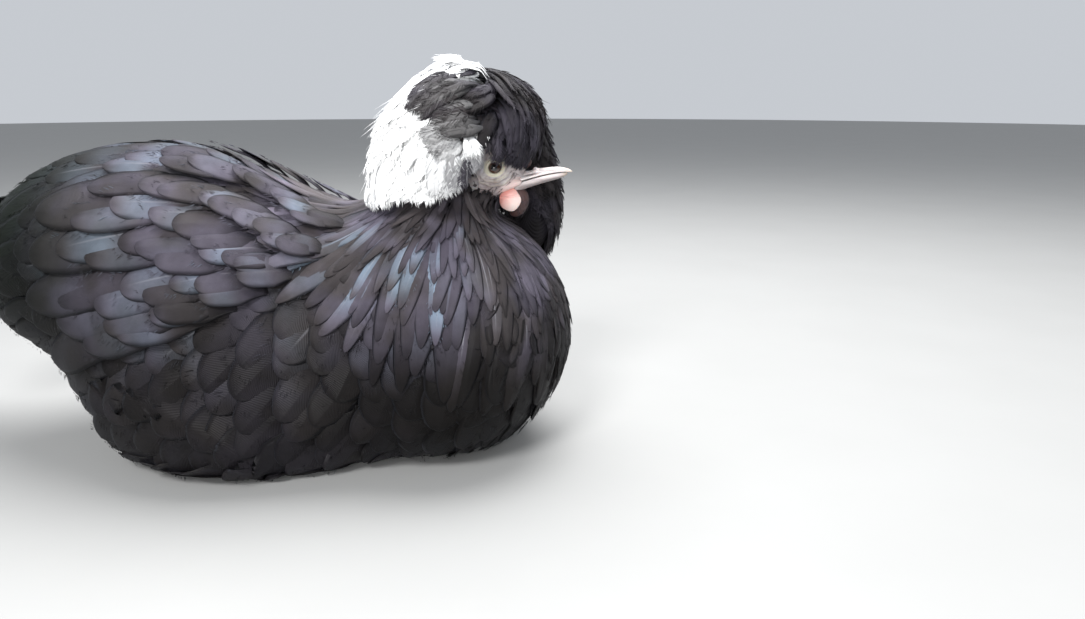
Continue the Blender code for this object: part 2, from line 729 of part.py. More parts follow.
def make_wing(side, name):
    wing = ellipsoid_solid(name, WING, "black_plumage", side, 0.0, *WING_MESH)
    combine(wing, trunk_cutter(WING_CORE), "INTERSECT")
    fuse(wing, wing_feathers(side))
    combine(wing, trunk_cutter(), "DIFFERENCE")
    return wing


def make_tail():
    tail = ellipsoid_solid("tail", TAIL_CORE, "black_plumage", rings=8, segments=12)
    fuse(tail, tail_feathers())
    combine(tail, trunk_cutter(), "DIFFERENCE")
    return tail


def make_crest(others):
    """A core with the outline of the crest at half its size, and the feathers that grow from it."""
    crest_solid = form_solid("crest", CROWN, crest, "white_plumage", 0.0, *CREST_MESH)
    middle = Vector(CROWN)
    for point in crest_solid.data.vertices:
        point.co = middle + (point.co - middle) * CREST_CORE
    fuse(crest_solid, crest_feathers())
    combine(crest_solid, trunk_cutter(CREST_CLEAR), "DIFFERENCE")
    combine(crest_solid, head_cutter(), "DIFFERENCE")
    for side in (-1, 1):
        combine(crest_solid, sphere_solid("eye_room", mirrored(EYE_CENTRE, side), EYE_ROOM), "DIFFERENCE")
    return clear_of(crest_solid, others, FACE_CLEAR)


def lid_ring(side):
    """The swelling of both eyelids round the opening, turned to face outwards from the head."""
    ring = bmesh.new()
    outward = mirrored(EYE_FACING, side).normalized()
    turn = outward.to_track_quat("Z", "Y")
    middle = mirrored(EYE_CENTRE, side) + outward * LID_STAND_OFF
    for step in range(LID_STEPS):
        angle = 2 * math.pi * step / LID_STEPS
        around = Vector((math.cos(angle), LID_NARROW * math.sin(angle), 0))
        for corner in range(LID_CORNERS):
            bend = 2 * math.pi * corner / LID_CORNERS
            place = around * (LID_RADIUS + LID_THICK * math.cos(bend))
            place += Vector((0, 0, LID_THICK * math.sin(bend)))
            ring.verts.new(middle + turn @ place)
    ring.verts.ensure_lookup_table()
    for step in range(LID_STEPS):
        for corner in range(LID_CORNERS):
            beside = (corner + 1) % LID_CORNERS
            following = (step + 1) % LID_STEPS
            ring.faces.new((
                ring.verts[step * LID_CORNERS + corner],
                ring.verts[following * LID_CORNERS + corner],
                ring.verts[following * LID_CORNERS + beside],
                ring.verts[step * LID_CORNERS + beside],
            ))
    bmesh.ops.recalc_face_normals(ring, faces=ring.faces)
    bmesh.ops.triangulate(ring, faces=ring.faces)
    mesh = bpy.data.meshes.new("lid_ring")
    ring.to_mesh(mesh)
    ring.free()
    return made_object("lid_ring", mesh)


def make_head():
    skull = form_solid("head", HEAD_MIDDLE, head, "face_skin", 0.0, *HEAD_MESH)
    for side in (-1, 1):
        combine(skull, lid_ring(side), "UNION")
        combine(skull, sphere_solid("eye_cut", mirrored(EYE_CENTRE, side), EYE_RADIUS + GAP), "DIFFERENCE")
        combine(skull, ellipsoid_solid("ear_cut", EAR_CUP, side=side, rings=6, segments=8), "DIFFERENCE")
        mouth_cut = ellipsoid_solid("mouth_cut", MOUTH_CORNER, side=side, rings=6, segments=8)
        combine(skull, mouth_cut, "DIFFERENCE")
    return skull


def make_eye(side, name):
    return sphere_solid(name, mirrored(EYE_CENTRE, side), EYE_RADIUS, "eye_brown")


def bill_point(along, across, up):
    """A point of the bill from its place along, across and above the line of the mouth."""
    forward = Vector((math.cos(BILL_CLIMB), 0, math.sin(BILL_CLIMB)))
    lift = Vector((-math.sin(BILL_CLIMB), 0, math.cos(BILL_CLIMB)))
    share = along / BILL_LENGTH
    return GAPE + forward * along + Vector((0, across, 0)) + lift * (up - HOOK * share**3)


def bill_half(name, length, width, height, upper):
    """Sections that narrow to a blunt tip, each a half ellipse with its flat side on the mouth."""
    rings = []
    for share, narrow, high, deep in BILL_SECTIONS:
        low = high if upper else deep
        sign = 1 if upper else -1
        ring = []
        for step in range(BILL_ARCS + 1):
            angle = math.pi * step / BILL_ARCS
            ring.append(bill_point(
                share * length,
                width / 2 * narrow * math.cos(angle),
                sign * (GAP / 2 + height * low * math.sin(angle)),
            ))
        rings.append(ring)
    return loft(name, rings, "bill_horn")


def make_bill():
    upper = bill_half("bill_upper", BILL_LENGTH, BILL_WIDTH, UPPER_HEIGHT, True)
    for side in (-1, 1):
        middle = tuple(bill_point(NOSTRIL_ALONG, NOSTRIL_ACROSS * side, NOSTRIL_UP))
        nostril = (middle, NOSTRIL_RADII, NOSTRIL_TILT)
        combine(upper, ellipsoid_solid("nostril_cut", nostril, rings=6, segments=8), "DIFFERENCE")
    lower_length, lower_width = BILL_LENGTH - LOWER_SHORT, BILL_WIDTH - LOWER_NARROW
    lower = bill_half("bill_lower", lower_length, lower_width, LOWER_DEPTH, False)
    for half in (upper, lower):
        combine(half, head_cutter(), "DIFFERENCE")
    return upper, lower


def make_comb(others):
    """The small comb of two horns that stand side by side where the bill meets the brow."""
    comb = ellipsoid_solid("comb", COMB_BASE, "wattle_skin", rings=6, segments=8)
    for side in (-1, 1):
        horn = [comb_root(side, share) for share in (0.0, 0.5, 1.0)]
        combine(comb, tube("horn", horn, HORN_RADII), "UNION")
    return clear_of(comb, others)


def comb_root(side, share):
    base = Vector(COMB_BASE[0])
    return base + Vector((-0.002 * share, side * (0.002 + 0.004 * share), 0.001 + 0.008 * share))


def make_wattle(side, name, others):
    wattle = ellipsoid_solid(name, WATTLE, "wattle_skin", side=side, rings=10, segments=12)
    return clear_of(wattle, others)


def make_earlobe(side, name, others):
    lobe = ellipsoid_solid(name, EARLOBE, "white_plumage", side=side, rings=5, segments=8)
    return clear_of(lobe, others)


def make_shank(side, name, others):
    points = [mirrored(place, side) for place in (HOCK, HOCK.lerp(ANKLE, 0.5), ANKLE)]
    shank = tube(name, points, (SHANK_RADIUS * 1.2, SHANK_RADIUS * 0.9, SHANK_RADIUS), 8, "slate_scale")
    return clear_of(shank, others)


def toe_line(side, bearing, length):
    """The points of a toe from the ankle to the root of its claw, with a slight arch."""
    angle = math.radians(bearing)
    heading = Vector((math.cos(angle), math.sin(angle) * side, 0))
    root = mirrored(ANKLE, side)
    line = []
    for step in range(4):
        share = step / 3
        radius = TOE_RADIUS * (1 - 0.25 * share)
        rise = TOE_ARCH * math.sin(math.pi * share)
        place = root + heading * length * share
        line.append((Vector((place.x, place.y, radius + rise - FLAT_DEPTH)), radius, heading))
    return line


def make_foot(side, name):
    """The pad of the foot with its four toes, resting on the floor."""
    root = mirrored(ANKLE, side)
    foot = sphere_solid(name, (root.x + 0.002, root.y, 0.0062), 0.0062, "slate_scale", 10, 6)
    for toe, bearing, length in TOES:
        line = toe_line(side, bearing, length)
        toe_tube = tube(toe, [place for place, _, _ in line], [radius for _, radius, _ in line], 5)
        combine(foot, toe_tube, "UNION")
    flatten(foot)
    return foot


def flatten(piece, level=0.0):
    """Cuts the piece off flat at the floor."""
    return combine(piece, half_space("floor_cut", Vector((0, 0, level)), 0.0, False), "DIFFERENCE")


def make_claw(side, word, toe, bearing, length, foot):
    end, radius, heading = toe_line(side, bearing, length)[-1]
    points, radii = [], []
    for step in range(4):
        share = step / 3
        fall = (radius - 2 * CLAW_TIP) * share**1.5
        points.append(end + heading * (GAP + CLAW_LENGTH * share) - Vector((0, 0, fall)))
        radii.append(radius * CLAW_ROOT * (1 - share) ** 0.8 + CLAW_TIP)
    claw = tube("claw_%s_%s" % (toe, word), points, radii, 5, "claw_horn")
    return flatten(clear_of(claw, (foot,)))


def make_leg(side, word):
    foot = make_foot(side, "foot_" + word)
    for toe, bearing, length in TOES:
        make_claw(side, word, toe, bearing, length, foot)
    return make_shank(side, "shank_" + word, (foot,))


def make_all():
    clear_scene()
    shanks = [make_leg(side, word) for side, word in SIDES]
    torso = make_torso()
    skull = make_head()
    bill = make_bill()
    comb = make_comb((skull, *bill))
    wings, soft = [], []
    for (side, word), shank in zip(SIDES, shanks):
        make_thigh(side, "thigh_" + word, shank)
        wings.append(make_wing(side, "wing_" + word))
        make_eye(side, "eye_" + word)
        soft.append(make_wattle(side, "wattle_" + word, (skull, *bill)))
        soft.append(make_earlobe(side, "earlobe_" + word, (skull,)))
    make_tail()
    make_neck((torso, *wings, *soft, bill[1]))
    make_crest((*bill, comb, *soft))
    bpy.data.collections.remove(collection("cutters"))


make_all()
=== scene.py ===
"""A crested hen at rest, dressed: one skin, a coat of modelled feathers, lids, eyes, horn and wattles.

Sizes are in metres. The beak points to +X, the bird's right side faces -Y, and the floor is at Z = 0.
Soft forms are ellipsoids blended into one another, and each is a function that tells roughly how far a
point lies outside it. Skin and feathers are laid on these functions at a chosen height.
"""

import math

import bpy
import numpy as np
from bpy.props import FloatProperty, FloatVectorProperty, IntProperty, PointerProperty
from mathutils import Euler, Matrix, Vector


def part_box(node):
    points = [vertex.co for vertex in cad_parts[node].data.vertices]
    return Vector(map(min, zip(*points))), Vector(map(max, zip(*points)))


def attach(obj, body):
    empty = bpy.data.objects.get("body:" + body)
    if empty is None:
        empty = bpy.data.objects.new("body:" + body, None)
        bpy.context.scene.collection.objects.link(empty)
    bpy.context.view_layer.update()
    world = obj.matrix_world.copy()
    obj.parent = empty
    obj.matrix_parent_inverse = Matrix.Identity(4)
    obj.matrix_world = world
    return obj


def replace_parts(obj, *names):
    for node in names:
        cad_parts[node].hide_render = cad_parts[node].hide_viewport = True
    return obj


bl_info = {
    "name": "Crested Hen",
    "version": (1, 0, 0),
    "blender": (4, 5, 0),
    "location": "3D View > Sidebar > Hen",
    "description": "Dresses the solids of a crested hen in skin, feathers, eyes and horn",
    "category": "Object",
}

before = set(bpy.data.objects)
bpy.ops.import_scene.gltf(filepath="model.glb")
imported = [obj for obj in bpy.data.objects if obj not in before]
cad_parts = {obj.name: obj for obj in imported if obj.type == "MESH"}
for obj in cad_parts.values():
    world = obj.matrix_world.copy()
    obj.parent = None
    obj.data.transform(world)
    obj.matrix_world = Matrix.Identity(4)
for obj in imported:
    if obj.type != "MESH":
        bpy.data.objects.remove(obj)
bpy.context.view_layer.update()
SIDES = ((-1, "right"), (1, "left"))

# Forms of the trunk: centre, radii and nose-up tilt in degrees
BELLY = ((-0.012, 0.0, 0.066), (0.130, 0.104, 0.098), -6.0)
BREAST = ((0.099, 0.0, 0.074), (0.083, 0.088, 0.080), 0.0)
BACK = ((-0.070, 0.0, 0.118), (0.094, 0.080, 0.074), -6.0)
RUMP = ((-0.122, 0.0, 0.116), (0.070, 0.067, 0.063), 10.0)
NECK_LOW = (0.072, 0.0, 0.100)
NECK_TOP = (0.106, 0.0, 0.160)
NECK_RADII = (0.058, 0.024)
BLEND = 0.020
THIGH = ((-0.040, 0.078, 0.030), (0.056, 0.034, 0.044), 0.0)
THIGH_PROUD = 0.005
THIGH_BLEND = 0.008
WING = ((-0.022, 0.080, 0.135), (0.070, 0.040, 0.034), 14.0)
WING_PROUD = 0.0085
WING_BLEND = 0.016
FLOOR_BLEND = 0.012

# Forms of the head
SKULL = ((0.1300, 0.0, 0.1770), (0.0250, 0.0160, 0.0170), 8.0)
KNOB = ((0.1140, 0.0, 0.1890), (0.0210, 0.0175, 0.0170), 0.0)
CHEEK = ((0.1330, 0.0, 0.1700), (0.0170, 0.0135, 0.0110), 8.0)
GAPE_FLESH = ((0.1452, 0.0085, 0.1668), (0.0085, 0.0032, 0.0024), 19.0)
DEWLAP = ((0.1500, 0.0, 0.1555), (0.0062, 0.0055, 0.0090), -22.0)
DEWLAP_BLEND = 0.006
GAPE_BLEND = 0.002
HEAD_BLEND = 0.008
THROAT_BLEND = 0.012

# Forms of the crest and the point that its feathers rise from
CREST_FORMS = (
    ((0.1118, 0.000, 0.1945), (0.0390, 0.055, 0.0448), -14.5),
    ((0.0807, -0.004, 0.1731), (0.0210, 0.046, 0.0363), -11.4),
    ((0.1378, 0.006, 0.2013), (0.0277, 0.045, 0.0284), -22.4),
    ((0.1539, 0.036, 0.1565), (0.0214, 0.018, 0.0472), 2.8),
    ((0.1030, -0.030, 0.1800), (0.0260, 0.024, 0.0340), 0.0),
)
CREST_BLEND = 0.016
CROWN = np.array((0.114, 0.004, 0.195))
# The down inside the lobe beside the bill, and the height of its lowest tips
LOBE_FELT = ((0.1520, 0.036, 0.1560), (0.0165, 0.0125, 0.0380), 2.8)
LOBE_END = 0.116
# Where the crest parts, on its top
PARTING = np.array((0.114, 0.006, 0.222))
# How far from straight up the crest hangs, in degrees, by bearing: 0 over the beak, positive to the left
DRAPE = ((-180, 122), (-149, 120), (-118, 118), (-93, 119), (-88, 117), (-83, 113), (-79, 108),
         (-74, 101), (-69, 94), (-61, 97), (-50, 101), (-24, 107), (6, 111), (20, 130), (40, 150),
         (64, 128), (90, 114), (180, 122))

# The spine that the rings of the skin are threaded on, from the root of the tail to the face
SPINE = (
    (-0.150, 0.0, 0.118), (-0.110, 0.0, 0.110), (-0.050, 0.0, 0.094), (0.010, 0.0, 0.084),
    (0.058, 0.0, 0.088), (0.088, 0.0, 0.110), (0.104, 0.0, 0.138), (0.115, 0.0, 0.160),
    (0.126, 0.0, 0.174), (0.140, 0.0, 0.1765),
)
SKIN_DEPTH = 0.0045       # how far the skin of the trunk lies under the outline of the coat
SKIN_LOWEST = 0.0012      # how far the skin stays above the floor
RECESSES = (
    ((-0.043, 0.043, 0.004), (0.072, 0.0190, 0.0215), 0.0),
    ((0.013, 0.0365, 0.0), (0.049, 0.0315, 0.0160), 0.0),
)

# The plane that parts the hackle from the body, and the points that the feathers stream away from
COLLAR_POINT = np.array((0.100, 0.0, 0.128))
COLLAR_TILT = math.radians(27)
HACKLE_SOURCE = np.array((0.112, 0.0, 0.185))
BODY_SOURCE = np.array((0.150, 0.0, 0.215))

# The eye, read from its solid
EYE_LOW, EYE_HIGH = (np.array(corner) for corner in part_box("eye_left"))
EYE_CENTRE = (EYE_LOW + EYE_HIGH) / 2
EYE_RADIUS = float(max(EYE_HIGH - EYE_LOW)) / 2
EYE_FACING = np.array((0.10, 0.97, 0.14))

# The bill
GAPE = np.array((0.1425, 0.0, 0.1655))
BILL_CLIMB = math.radians(19)
BILL_LENGTH = 0.0415
LOWER_LENGTH = 0.0385
HOOK = 0.0044
MOUTH_GAP = 0.00025       # half the gap between the halves of the bill

WATTLE = ((0.1462, 0.0095, 0.1585), (0.0066, 0.0028, 0.0070), -8.0)
EARLOBE = ((0.1240, 0.0158, 0.1690), (0.0046, 0.0030, 0.0062), 0.0)
COMB_BASE = ((0.1535, 0.0, 0.1800), (0.0050, 0.0042, 0.0040), 10.0)

WING_LINE = math.radians(14)
TAIL_ROOT = np.array((-0.152, 0.0, 0.140))
TAIL_FALL = math.radians(27)

GOLDEN_TURN = 137.508     # degrees from one root to the next where roots are spread evenly
PATCH = 0.003             # width of a feather's patch on the map for baking
LOWEST, HIGHEST = 0.0002, 0.2430    # heights between which feathers and hairs are kept

SIDEWAYS = np.array((0.0, 1.0, 0.0))
UNIT = {"subtype": "DISTANCE", "unit": "LENGTH"}


# Forms

def ellipsoid(points, form, side=1.0):
    """Distance from a tilted ellipsoid: the point is scaled by the radii, and the excess of its length
    over one is divided by how fast that length grows there."""
    centre, radii, tilt = form
    offset = points - np.array(centre) * (1.0, side, 1.0)
    angle = math.radians(tilt)
    along = offset[..., 0] * math.cos(angle) + offset[..., 2] * math.sin(angle)
    above = offset[..., 2] * math.cos(angle) - offset[..., 0] * math.sin(angle)
    scaled = np.stack([along, offset[..., 1], above], -1) / radii
    reach = np.linalg.norm(scaled, axis=-1)
    return reach * (reach - 1) / np.maximum(np.linalg.norm(scaled / radii, axis=-1), 1e-9)


def blended(first, second, softness):
    """Smooth union: the smaller distance, less a hump where the two are within the softness."""
    share = np.clip(0.5 + 0.5 * (second - first) / softness, 0, 1)
    return second + (first - second) * share - softness * share * (1 - share)


def carved(first, second, softness):
    """Smooth intersection: the mirror image of the smooth union."""
    return -blended(-first, -second, softness)


def trunk(points):
    """Belly, breast, back, rump and a cone for the neck, run together."""
    distance = ellipsoid(points, BELLY)
    for form in (BREAST, BACK, RUMP):
        distance = blended(distance, ellipsoid(points, form), BLEND)
    low, top = np.array(NECK_LOW), np.array(NECK_TOP)
    share = np.clip((points - low) @ (top - low) / ((top - low) @ (top - low)), 0, 1)
    radius = NECK_RADII[0] + (NECK_RADII[1] - NECK_RADII[0]) * share
    cone = np.linalg.norm(points - low - share[..., None] * (top - low), axis=-1) - radius
    return blended(distance, cone, BLEND)


def swollen(points, distance, form, proud, softness):
    """A form, mirrored to both sides, that stands out of the trunk by no more than a set height."""
    for side in (-1, 1):
        bulge = np.maximum(ellipsoid(points, form, side), distance - proud)
        distance = blended(distance, bulge, softness)
    return distance


def haunches(points):
    """The trunk with its thighs."""
    return swollen(points, trunk(points), THIGH, THIGH_PROUD, THIGH_BLEND)


def figure(points):
    """The trunk with its thighs, pressed flat on the floor."""
    return carved(haunches(points), -points[..., 2], FLOOR_BLEND)


def mantle(points):
    """The trunk with the folded wings on it, which the hackle lies over."""
    return swollen(points, trunk(points), WING, WING_PROUD, WING_BLEND)


def head(points):
    """Skull, bony knob and cheeks."""
    distance = blended(ellipsoid(points, SKULL), ellipsoid(points, KNOB), HEAD_BLEND)
    return blended(distance, ellipsoid(points, CHEEK), HEAD_BLEND)


def crest(points):
    """The forms of the crest run together."""
    distance = ellipsoid(points, CREST_FORMS[0])
    for form in CREST_FORMS[1:]:
        distance = blended(distance, ellipsoid(points, form), CREST_BLEND)
    return distance


def flesh(points):
    """The trunk drawn in by the depth of the coat and run into the head, with the flesh at the corners
    of the mouth, less the hollows that the feet lie in and the sockets of the eyes."""
    distance = blended(haunches(points) + SKIN_DEPTH, head(points), THROAT_BLEND)
    distance = blended(distance, ellipsoid(points, DEWLAP), DEWLAP_BLEND)
    for side in (-1, 1):
        distance = blended(distance, ellipsoid(points, GAPE_FLESH, side), GAPE_BLEND)
        for form in RECESSES:
            distance = np.maximum(distance, -ellipsoid(points, form, side))
        eye = EYE_CENTRE * (1, side, 1)
        distance = np.maximum(distance, EYE_RADIUS * 0.93 - np.linalg.norm(points - eye, axis=-1))
    return carved(distance, SKIN_LOWEST - points[..., 2], 0.004)


def first_exit(origins, rays, distance, level=0.0, reach=0.16, steps=40):
    """How far along each ray the form is first left: the ray is sampled at even steps, and the step in
    which the distance passes the level is halved twelve times."""
    marks = np.linspace(0, reach, steps)
    outside = np.stack([distance(origins + mark * rays) > level for mark in marks], -1)
    outside[..., -1] = True
    first = np.maximum(np.argmax(outside, axis=-1), 1)
    near, far = marks[first - 1], marks[first]
    for _ in range(12):
        half = (near + far) / 2
        inside = distance(origins + half[..., None] * rays) < level
        near, far = np.where(inside, half, near), np.where(inside, far, half)
    return near


def slope_of(distance, points):
    """The unit direction in which the distance grows fastest at each point."""
    step = 0.0005
    change = [distance(points + axis * step) - distance(points - axis * step) for axis in np.eye(3)]
    return unit(np.stack(change, -1))


def slanting(angle):
    """Unit vectors that climb forward at the angle, and square to that upwards."""
    return np.array((math.cos(angle), 0, math.sin(angle))), np.array((-math.sin(angle), 0, math.cos(angle)))


def unit(vectors):
    """Vectors at length one."""
    return vectors / np.maximum(np.linalg.norm(vectors, axis=-1, keepdims=True), 1e-12)


def settled(points, distance, level):
    """Points moved along the slope until they lie at the level, in three corrections."""
    for _ in range(3):
        points = points - (distance(points) - level)[..., None] * slope_of(distance, points)
    return points


def trails(distance, starts, heading, lengths, shares, levels):
    """Paths over a form: at each step the heading is laid flat on the surface, followed for the share
    of the length, and the new point is settled at the level that the feather has there."""
    points = settled(starts, distance, levels[:, 0])
    paths = [points]
    for number in range(1, len(shares)):
        slope = slope_of(distance, points)
        flow = heading(points)
        flow = unit(flow - np.sum(flow * slope, axis=-1, keepdims=True) * slope)
        stride = (shares[number] - shares[number - 1]) * lengths[:, None]
        points = settled(points + flow * stride, distance, levels[:, number])
        paths.append(points)
    return np.stack(paths, 1)


def smooth(low, high, value):
    """Zero below low, one above high, and the cubic S between."""
    share = np.clip((value - low) / (high - low), 0, 1)
    return share * share * (3 - 2 * share)


def spine(shares):
    """Points and unit tangents of the smooth curve through the points of the spine: on each stretch a
    cubic that passes both ends in the direction of their neighbours' chord."""
    points = np.array(SPINE)
    padded = np.vstack([2 * points[0] - points[1], points, 2 * points[-1] - points[-2]])
    place = np.clip(shares, 0, 1) * (len(points) - 1)
    number = np.minimum(place.astype(int), len(points) - 2)
    t = (place - number)[:, None]
    before, start, end, after = (padded[number + step] for step in range(4))
    curve = start + t / 2 * (end - before) + t**2 / 2 * (2 * before - 5 * start + 4 * end - after)
    curve = curve + t**3 / 2 * (3 * start - before - 3 * end + after)
    tangent = (end - before) / 2 + t * (2 * before - 5 * start + 4 * end - after)
    tangent = tangent + 1.5 * t**2 * (3 * start - before - 3 * end + after)
    return curve, unit(tangent)


def unwrapped(points):
    """Each point's place on the unwrap of the skin: along the spine, and the angle round it."""
    marks = np.linspace(0, 1, 160)
    curve, tangents = spine(marks)
    gap = np.linalg.norm(points[:, None] - curve[None], axis=-1)
    nearest = np.argmin(gap, axis=1)
    offset = points - curve[nearest]
    beyond = np.sum(offset * tangents[nearest], axis=-1)
    along = 0.12 + 0.74 * marks[nearest] + np.clip(beyond, -0.08, 0.08)
    upward = np.stack([-tangents[nearest, 2], tangents[nearest, 1], tangents[nearest, 0]], -1)
    angle = np.arctan2(points[:, 1], np.sum(offset * upward, axis=-1))
    return np.stack([0.01 + 0.98 * (angle / (2 * math.pi) + 0.5), np.clip(along, 0.01, 0.99)], -1)


# Meshes

def placed(name, data):
    """A new object in the scene."""
    made = bpy.data.objects.new(name, data)
    bpy.context.scene.collection.objects.link(made)
    return made


def mesh_piece(name, points, faces_of, faces_each, material, uvs=None, values=None):
    """A piece from flat arrays: points, the corners of all faces in a row, and how many each face has.
    uvs maps a name to a pair for each point, and values maps a name to a number for each point."""
    mesh = bpy.data.meshes.new(name)
    mesh.vertices.add(len(points))
    mesh.vertices.foreach_set("co", points.astype(np.float32).ravel())
    mesh.loops.add(len(faces_of))
    mesh.loops.foreach_set("vertex_index", faces_of.astype(np.int32))
    mesh.polygons.add(len(faces_each))
    starts = np.concatenate([[0], np.cumsum(faces_each)[:-1]])
    mesh.polygons.foreach_set("loop_start", starts.astype(np.int32))
    mesh.polygons.foreach_set("loop_total", faces_each.astype(np.int32))
    mesh.update(calc_edges=True)
    mesh.polygons.foreach_set("use_smooth", np.ones(len(faces_each), bool))
    for label, pairs in (uvs or {}).items():
        layer = mesh.uv_layers.new(name=label)
        layer.uv.foreach_set("vector", pairs[faces_of].astype(np.float32).ravel())
    for label, numbers in (values or {}).items():
        attribute = mesh.attributes.new(label, "FLOAT", "POINT")
        attribute.data.foreach_set("value", numbers.astype(np.float32))
    mesh.validate()
    mesh.materials.append(material)
    piece = placed(name, mesh)
    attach(piece, "root")
    return piece


def tube_faces(count, rows, ring):
    """Faces of many closed tubes of equal make, each with its rows of ring points: a quad between
    neighbours of neighbouring rows, and a cap at each end."""
    start = np.arange(count)[:, None, None] * rows * ring
    row = np.arange(rows - 1)[None, :, None] * ring
    here = np.arange(ring)[None, None, :]
    beside = (here + 1) % ring
    quads = np.stack([
        start + row + here, start + row + beside, start + row + ring + beside, start + row + ring + here
    ], -1).reshape(-1)
    caps = np.concatenate([
        (start[:, 0] + np.arange(ring)[None, ::-1]).reshape(-1),
        (start[:, 0] + (rows - 1) * ring + np.arange(ring)[None]).reshape(-1),
    ])
    each = np.concatenate([np.full(count * (rows - 1) * ring, 4), np.full(2 * count, ring)])
    return np.concatenate([quads, caps]), each


def coat_piece(name, points, vane, roots, material, pale, shade, painted_sheen_share):
    """A piece of closed tubes from their points by feather, row and place in the ring. The vane's places
    across and along are a UV map, and for baking each feather is a small patch at the place of its root
    on the unwrap of the skin. Paleness, shade and the share of painted sheen are one number for a whole
    feather."""
    count, rows, ring = points.shape[:3]
    faces, each = tube_faces(count, rows, ring)
    patch = unwrapped(roots)[:, None, None] + PATCH * (vane - 0.5)
    uvs = {"Vane": vane.reshape(-1, 2), "OFBake": patch.reshape(-1, 2)}
    values = {
        label: np.repeat(np.zeros(count) if number is None else number, rows * ring)
        for label, number in (("shade", shade), ("pale", pale), ("painted_sheen_share", painted_sheen_share))
    }
    return mesh_piece(name, points.reshape(-1, 3), faces, each, material, uvs, values)


def feather_points(paths, slopes, half, wide, tilt, thick, camber, columns):
    """Closed blades. At each station of a path the top is a row of points across, from edge to edge, at
    the half width there, dropped at the edges by the camber times the square of the place across, and
    the underside is one point below the shaft. The row is turned about the shaft by the tilt."""
    tangents = np.gradient(paths, axis=1)
    across = unit(np.cross(slopes, tangents))
    lift = unit(np.cross(tangents, across))
    turn = tilt[:, None, None]
    across, lift = across * np.cos(turn) + lift * np.sin(turn), lift * np.cos(turn) - across * np.sin(turn)
    place = np.linspace(-1, 1, columns)
    edge = np.where(place < 0, wide[..., 0, None], wide[..., 1, None]) * half[:, None, None]
    body = np.minimum(1, wide.mean(-1) * 2.5)[..., None]
    height = thick * 0.5 * body * np.exp(-(place / 0.12) ** 2) - camber * edge * place**2
    top = paths[:, :, None] + across[:, :, None] * (edge * place)[..., None]
    top = top + lift[:, :, None] * height[..., None]
    under = paths - lift * (thick * body)
    return np.concatenate([top, under[:, :, None]], 2)


def feathers(name, paths, slopes, half, wide, tilt, slot, material, thick=0.00032, camber=0.16,
             columns=7, pale=None, shade=None, painted_sheen_share=None):
    """A piece of many feathers, with each one's place across and along worked out from its path."""
    count = len(paths)
    points = feather_points(paths, slopes, half, wide, tilt, thick, camber, columns)
    points[..., 2] = np.maximum(points[..., 2], LOWEST)
    across = np.append(np.linspace(0, 1, columns), 0.5)
    lengths = np.linalg.norm(np.diff(paths, axis=1), axis=-1)
    along = np.concatenate([np.zeros((count, 1)), np.cumsum(lengths, axis=1)], 1)
    along = along / along[:, -1:]
    vane = np.stack(np.broadcast_arrays(across[None, None], along[..., None]), -1)
    if shade is None:
        shade = np.random.default_rng(len(name) + count).random(count)
    return coat_piece(name, points, vane, paths[:, 0], material, pale, shade, painted_sheen_share)


def stations(count, crowd=1.5):
    """Shares of a feather's length, set closer towards the tip."""
    return 1 - (1 - np.linspace(0, 1, count)) ** crowd


def blade(shares, draw, count, root=0.30, full=0.35, turn=0.55, power=2.2, ragged=0.05, tip=0.04):
    """Width of each side of a feather by share of its length: it swells from the root's width to the
    full one, then falls as the power of the way from the turn to the tip. Each side wavers a little."""
    swell = root + (1 - root) * smooth(0, full, shares)
    fall = np.sqrt(np.maximum(1 - np.clip((shares - turn) / (1 - turn), 0, 1) ** power, tip**2))
    phase, pitch = draw.uniform(0, 6.3, (count, 1, 2)), draw.uniform(7, 15, (count, 1, 2))
    waver = 1 + ragged * np.sin(phase + pitch * shares[None, :, None])
    return (swell * fall)[None, :, None] * waver


def rise(shares, roots, tips, bend=0.3, part=0.6):
    """Height of each feather over its form: from the root's height to the tip's, most of it early."""
    profile = np.interp(shares, (0, bend, 1), (0, part, 1))
    return roots[:, None] + (tips - roots)[:, None] * profile[None]


def strands(name, paths, radii, material, pale=None, shade=None, painted_sheen_share=None, roots=None, along=None):
    """Three-sided tapering hairs along paths: round each point of a path a ring of three points at the
    radius there. The place along runs from root to tip, or is the one given for the whole hair."""
    count, rows = paths.shape[:2]
    tangents = unit(np.gradient(paths, axis=1))
    helper = np.where(np.abs(tangents[..., 2:3]) > 0.8, (1.0, 0, 0), (0, 0, 1.0))
    across = unit(np.cross(tangents, helper))
    lift = np.cross(tangents, across)
    angle = np.arange(3) * 2 * math.pi / 3
    ring = across[:, :, None] * np.cos(angle)[:, None] + lift[:, :, None] * np.sin(angle)[:, None]
    points = paths[:, :, None] + ring * radii[:, :, None, None]
    points[..., 2] = np.clip(points[..., 2], LOWEST, HIGHEST)
    share = np.linspace(0, 1, rows)[None, :, None] if along is None else along[:, None, None]
    vane = np.stack(np.broadcast_arrays(np.full((count, rows, 3), 0.4), share), -1)
    if shade is None:
        shade = np.random.default_rng(count).random(count)
    roots = paths[:, 0] if roots is None else roots
    return coat_piece(name, points, vane, roots, material, pale, shade, painted_sheen_share)


# Barbs of crest and coat: nearest place along the feather, share of the way across where they start,
# how far past the edge they reach, their fall at the edge, their least and greatest lift, and radii
PLUME = (0.22, 0.3, 0.0010, 0.20, (-0.0002, 0.0006), (0.00026, 0.00024, 0.00017, 0.00005))
FRINGE = (0.45, 0.84, 0.0003, 0.15, (-0.0006, -0.0003), (0.00014, 0.00012, 0.00003))


def numbered(counts):
    """The row of each feather, and its number in the row."""
    row = np.repeat(np.arange(len(counts)), counts)
    return row, np.arange(counts.sum()) - np.repeat(np.cumsum(counts) - counts, counts)


